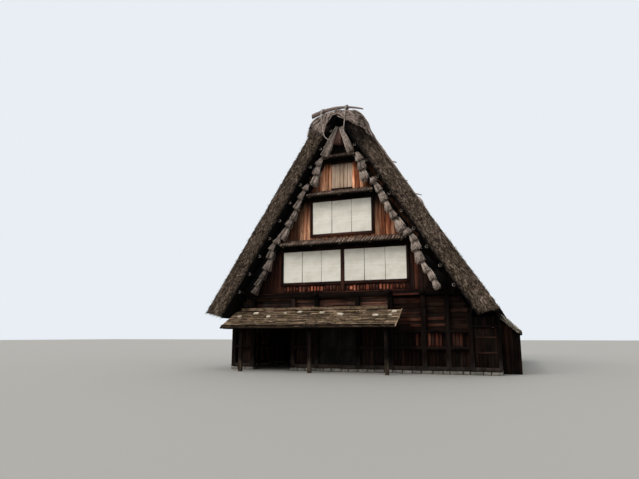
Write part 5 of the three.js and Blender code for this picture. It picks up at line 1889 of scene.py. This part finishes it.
# Porch roof. Split boards in lapped, level courses over close boards, weighted with flat stones, pale
# boards on end along the wall, one down the right-hand side, and a dark fascia under the front edge.
def porch_roof():
    rng = default_rng(114)
    (y0, z0), (y1, z1) = PORCH_FRONT, PORCH_WALL
    slope = np.array([0, y1 - y0, z1 - z0])
    reach = np.linalg.norm(slope)
    up = slope / reach
    out = np.array([0, -up[2], up[1]])
    foot = np.array([0, y0, z0])
    left, right = PORCH_X
    middle, axes, tones = [], [], []

    def lay(start, stop, far, wide, lift, thick, tone, skew=0.0, tilt=0.0):
        run = np.array([stop - start, 0, 0]) + up * skew
        across = up - out * tilt
        middle.append(foot + up * (far + wide / 2) + out * lift + np.array([(start + stop) / 2, 0, 0]))
        axes.append((run, across * wide, np.cross(run / np.linalg.norm(run), across) * thick))
        tones.append(tone)

    for far in np.linspace(0.01, reach - 0.26, 7):  # close boards
        lay(left, right - 0.02, far, 0.252, 0.02, 0.024, 0.3)
    for a, b in cuts_between(left + 0.02, right - 0.02, 0.7, rng):  # battens along the front edge
        lay(a, b, 0.15 + rng.uniform(0, 0.015), 0.035, 0.064, 0.012, rng.choice([1.4, 2.2, 2.8]))
        start = a + rng.uniform(0, 0.5)
        lay(start, a + 0.55, rng.uniform(0.02, 0.1), 0.02, 0.058, 0.01, rng.uniform(0.4, 1.0))
    for first in np.linspace(0.18, reach - 0.25, 7):  # courses
        for a, b in cuts_between(left + 0.01, right - 0.03, 0.55, rng):
            if rng.random() < 0.05:
                continue
            start = a + rng.uniform(0, 0.02)
            far = max(0.012, first + rng.uniform(-0.03, 0.02))
            lay(start, b, far, rng.uniform(0.21, 0.25), 0.05 + rng.uniform(0, 0.008), 0.014,
                rng.uniform(0.7, 1.3), rng.normal(0, 0.012), 0.075)
    boards = len(middle)
    for _ in range(170):  # splinters and loose chips
        start, run = rng.uniform(left + 0.05, right - 0.9), rng.uniform(0.2, 0.8)
        far, wide = rng.uniform(0.2, reach - 0.15), rng.uniform(0.03, 0.09)
        lay(start, start + run, far, wide, rng.uniform(0.062, 0.07), 0.01, rng.choice([0.12, 0.3, 0.9, 1.7]),
            rng.normal(0, 0.02), rng.uniform(0, 0.08))
    for _ in range(16):  # dark strips over the courses: painted shade of gaps where courses have slipped
        start = rng.uniform(left + 0.2, right - 1.8)
        stop = start + rng.uniform(0.5, 1.5)
        lay(start, stop, rng.uniform(0.4, reach - 0.3), rng.uniform(0.03, 0.05), 0.068, 0.01, 0.1)
    chip = straw("chip", 4, 0.8)
    courses = laid("courses", plain_planks, middle[:boards], axes[:boards], tones[:boards], keep=0.02,
                   seed=115)
    bits = laid("bits", [chip], middle[boards:], axes[boards:], tones[boards:], seed=124)
    gone(chip)
    return one_of("shingles", courses, bits), foot, up, out, reach


def porch_litter(foot, up, out, reach):
    """Bark, twigs and crumbs that have settled on the courses."""
    rng = default_rng(116)
    count = 300
    far = rng.uniform(0.25, reach - 0.1, count)
    x = rng.uniform(PORCH_X[0] + 0.1, PORCH_X[1] - 0.2, count)
    yaw = rng.normal(0, 0.12, count)
    lean = np.column_stack([np.cos(yaw), up[1] * np.sin(yaw), up[2] * np.sin(yaw)])
    run, wide = rng.uniform(0.05, 0.3, count), rng.uniform(0.012, 0.03, count)
    middle = foot + up * far[:, None] + out * 0.072 + np.column_stack([x, 0 * x, 0 * x])
    axes = framed(lean * run[:, None], np.tile(out, (count, 1)), wide, wide * 0.5)
    twig = straw("twig", 4, 0.6)
    litter = laid("litter", [twig], middle, axes, rng.choice([0.2, 0.5, 1.5], count), seed=117)
    gone(twig)
    return litter


def porch_fascia():
    deep = 0.18
    rise = porch_under(deep) - porch_under(0)
    front, foot = PORCH_FRONT
    rows = [((PORCH_X[0], front, foot - 0.03), (PORCH_X[1] - 0.02, front + deep, foot + 0.068), 0, 1.0)]
    fascia = timbers("porch_fascia", rows, seed=123)
    return reshaped(fascia, lambda p: p + np.outer(np.where(p[:, 1] > front + 0.1, rise, 0), (0, 0, 1)))


def porch_edges():
    """The boards along the wall, and the one down the right-hand side."""
    rng = default_rng(122)
    (y0, z0), (y1, z1) = PORCH_FRONT, PORCH_WALL
    rows = []
    for start, stop in ((-5.45, -3.6), (-3.59, -1.6), (-1.59, 0.4), (0.41, 2.2)):
        low, high = z1 + 0.075, z1 + 0.085 + rng.uniform(0.10, 0.14)
        rows.append(((start, y1 - 0.028, low), (stop, y1, high), 0, rng.uniform(1.0, 1.5)))
    edges = timbers("edges", rows, seed=118)
    axes = framed(np.array([[0, y1 - y0, z1 - z0]]), np.array([[1.0, 0, 0]]), [0.085], [0.026])
    middle = [(PORCH_X[1] - 0.018, (y0 + y1) / 2, (z0 + z1) / 2 + 0.045)]
    side = laid("side", planks, middle, axes, [2.6], keep=0.02, seed=119)
    return one_of("edges", edges, side)


def roof_stones(foot, up, out):
    """Flat stones, each by how far across the roof it lies, how far up the slope, and how wide it is."""
    places = [
        (-5.20, 1.11, 0.22), (-4.43, 1.46, 0.28), (-3.57, 1.06, 0.22), (-2.83, 1.42, 0.17),
        (-2.08, 1.54, 0.26), (-0.90, 1.42, 0.26), (0.08, 1.18, 0.34), (1.80, 1.06, 0.30),
        (2.60, 1.42, 0.26), (2.48, 1.04, 0.20),
    ]
    rng = default_rng(120)
    masters = [boulder(f"flat_stone_{k}", k + 5, 0.5) for k in range(4)]
    middle, axes = [], []
    for x, far, wide in places:
        yaw = rng.uniform(-0.3, 0.3)
        lean = np.array([cos(yaw), 0, 0]) + up * sin(yaw)
        high = rng.uniform(0.06, 0.09)
        middle.append(foot + up * far + out * (0.066 + high * 0.42) + np.array([x, 0, 0]))
        axes.append((lean * wide, np.cross(out, lean) * wide * rng.uniform(0.6, 0.8), out * high))
    stones = laid("porch_stones", masters, middle, axes, rng.uniform(0.9, 1.35, len(places)), seed=121)
    gone(*masters)
    return stones


def littered(tree, colour):
    """Shingles darkened in blotches where dirt and crumbs lie, with pale chips among them."""
    place = place_in(tree)
    blotch = mask(tree, noise(tree, place, (3.2, 7, 7), 5.0, 0.75), 0.47, 0.6)
    dull = mixed(tree, times(tree, blotch, 0.75), colour, srgb(50, 38, 30))
    chips = mask(tree, noise(tree, place, (11, 22, 22), 3.0, 0.7), 0.58, 0.66)
    return mixed(tree, times(tree, chips, 0.55), dull, srgb(150, 130, 106))


shingle_wood = wood("shingle_wood", (30, 22, 18), (108, 86, 68), (190, 162, 134), knots=0.3, bloom=0.2,
                    bloom_colour=(150, 130, 76), litter=littered)
shingles, *surface, reach = porch_roof()
roofing = one_of("porch_shingles", shingles, porch_litter(*surface, reach), porch_edges())
reshaped(roofing, lambda p: np.column_stack([p[:, 0], np.maximum(p[:, 1], PORCH_FRONT[0]), p[:, 2]]))
settle(roofing, shingle_wood, "shingle", "porch_roof")
settle(porch_fascia(), porch_wood, "old_timber")
pale_stone = stone_finish("pale_stone", (136, 122, 106), (220, 206, 184))
settle(roof_stones(*surface), pale_stone, "stone")

gone(*planks, *plain_planks, lining)
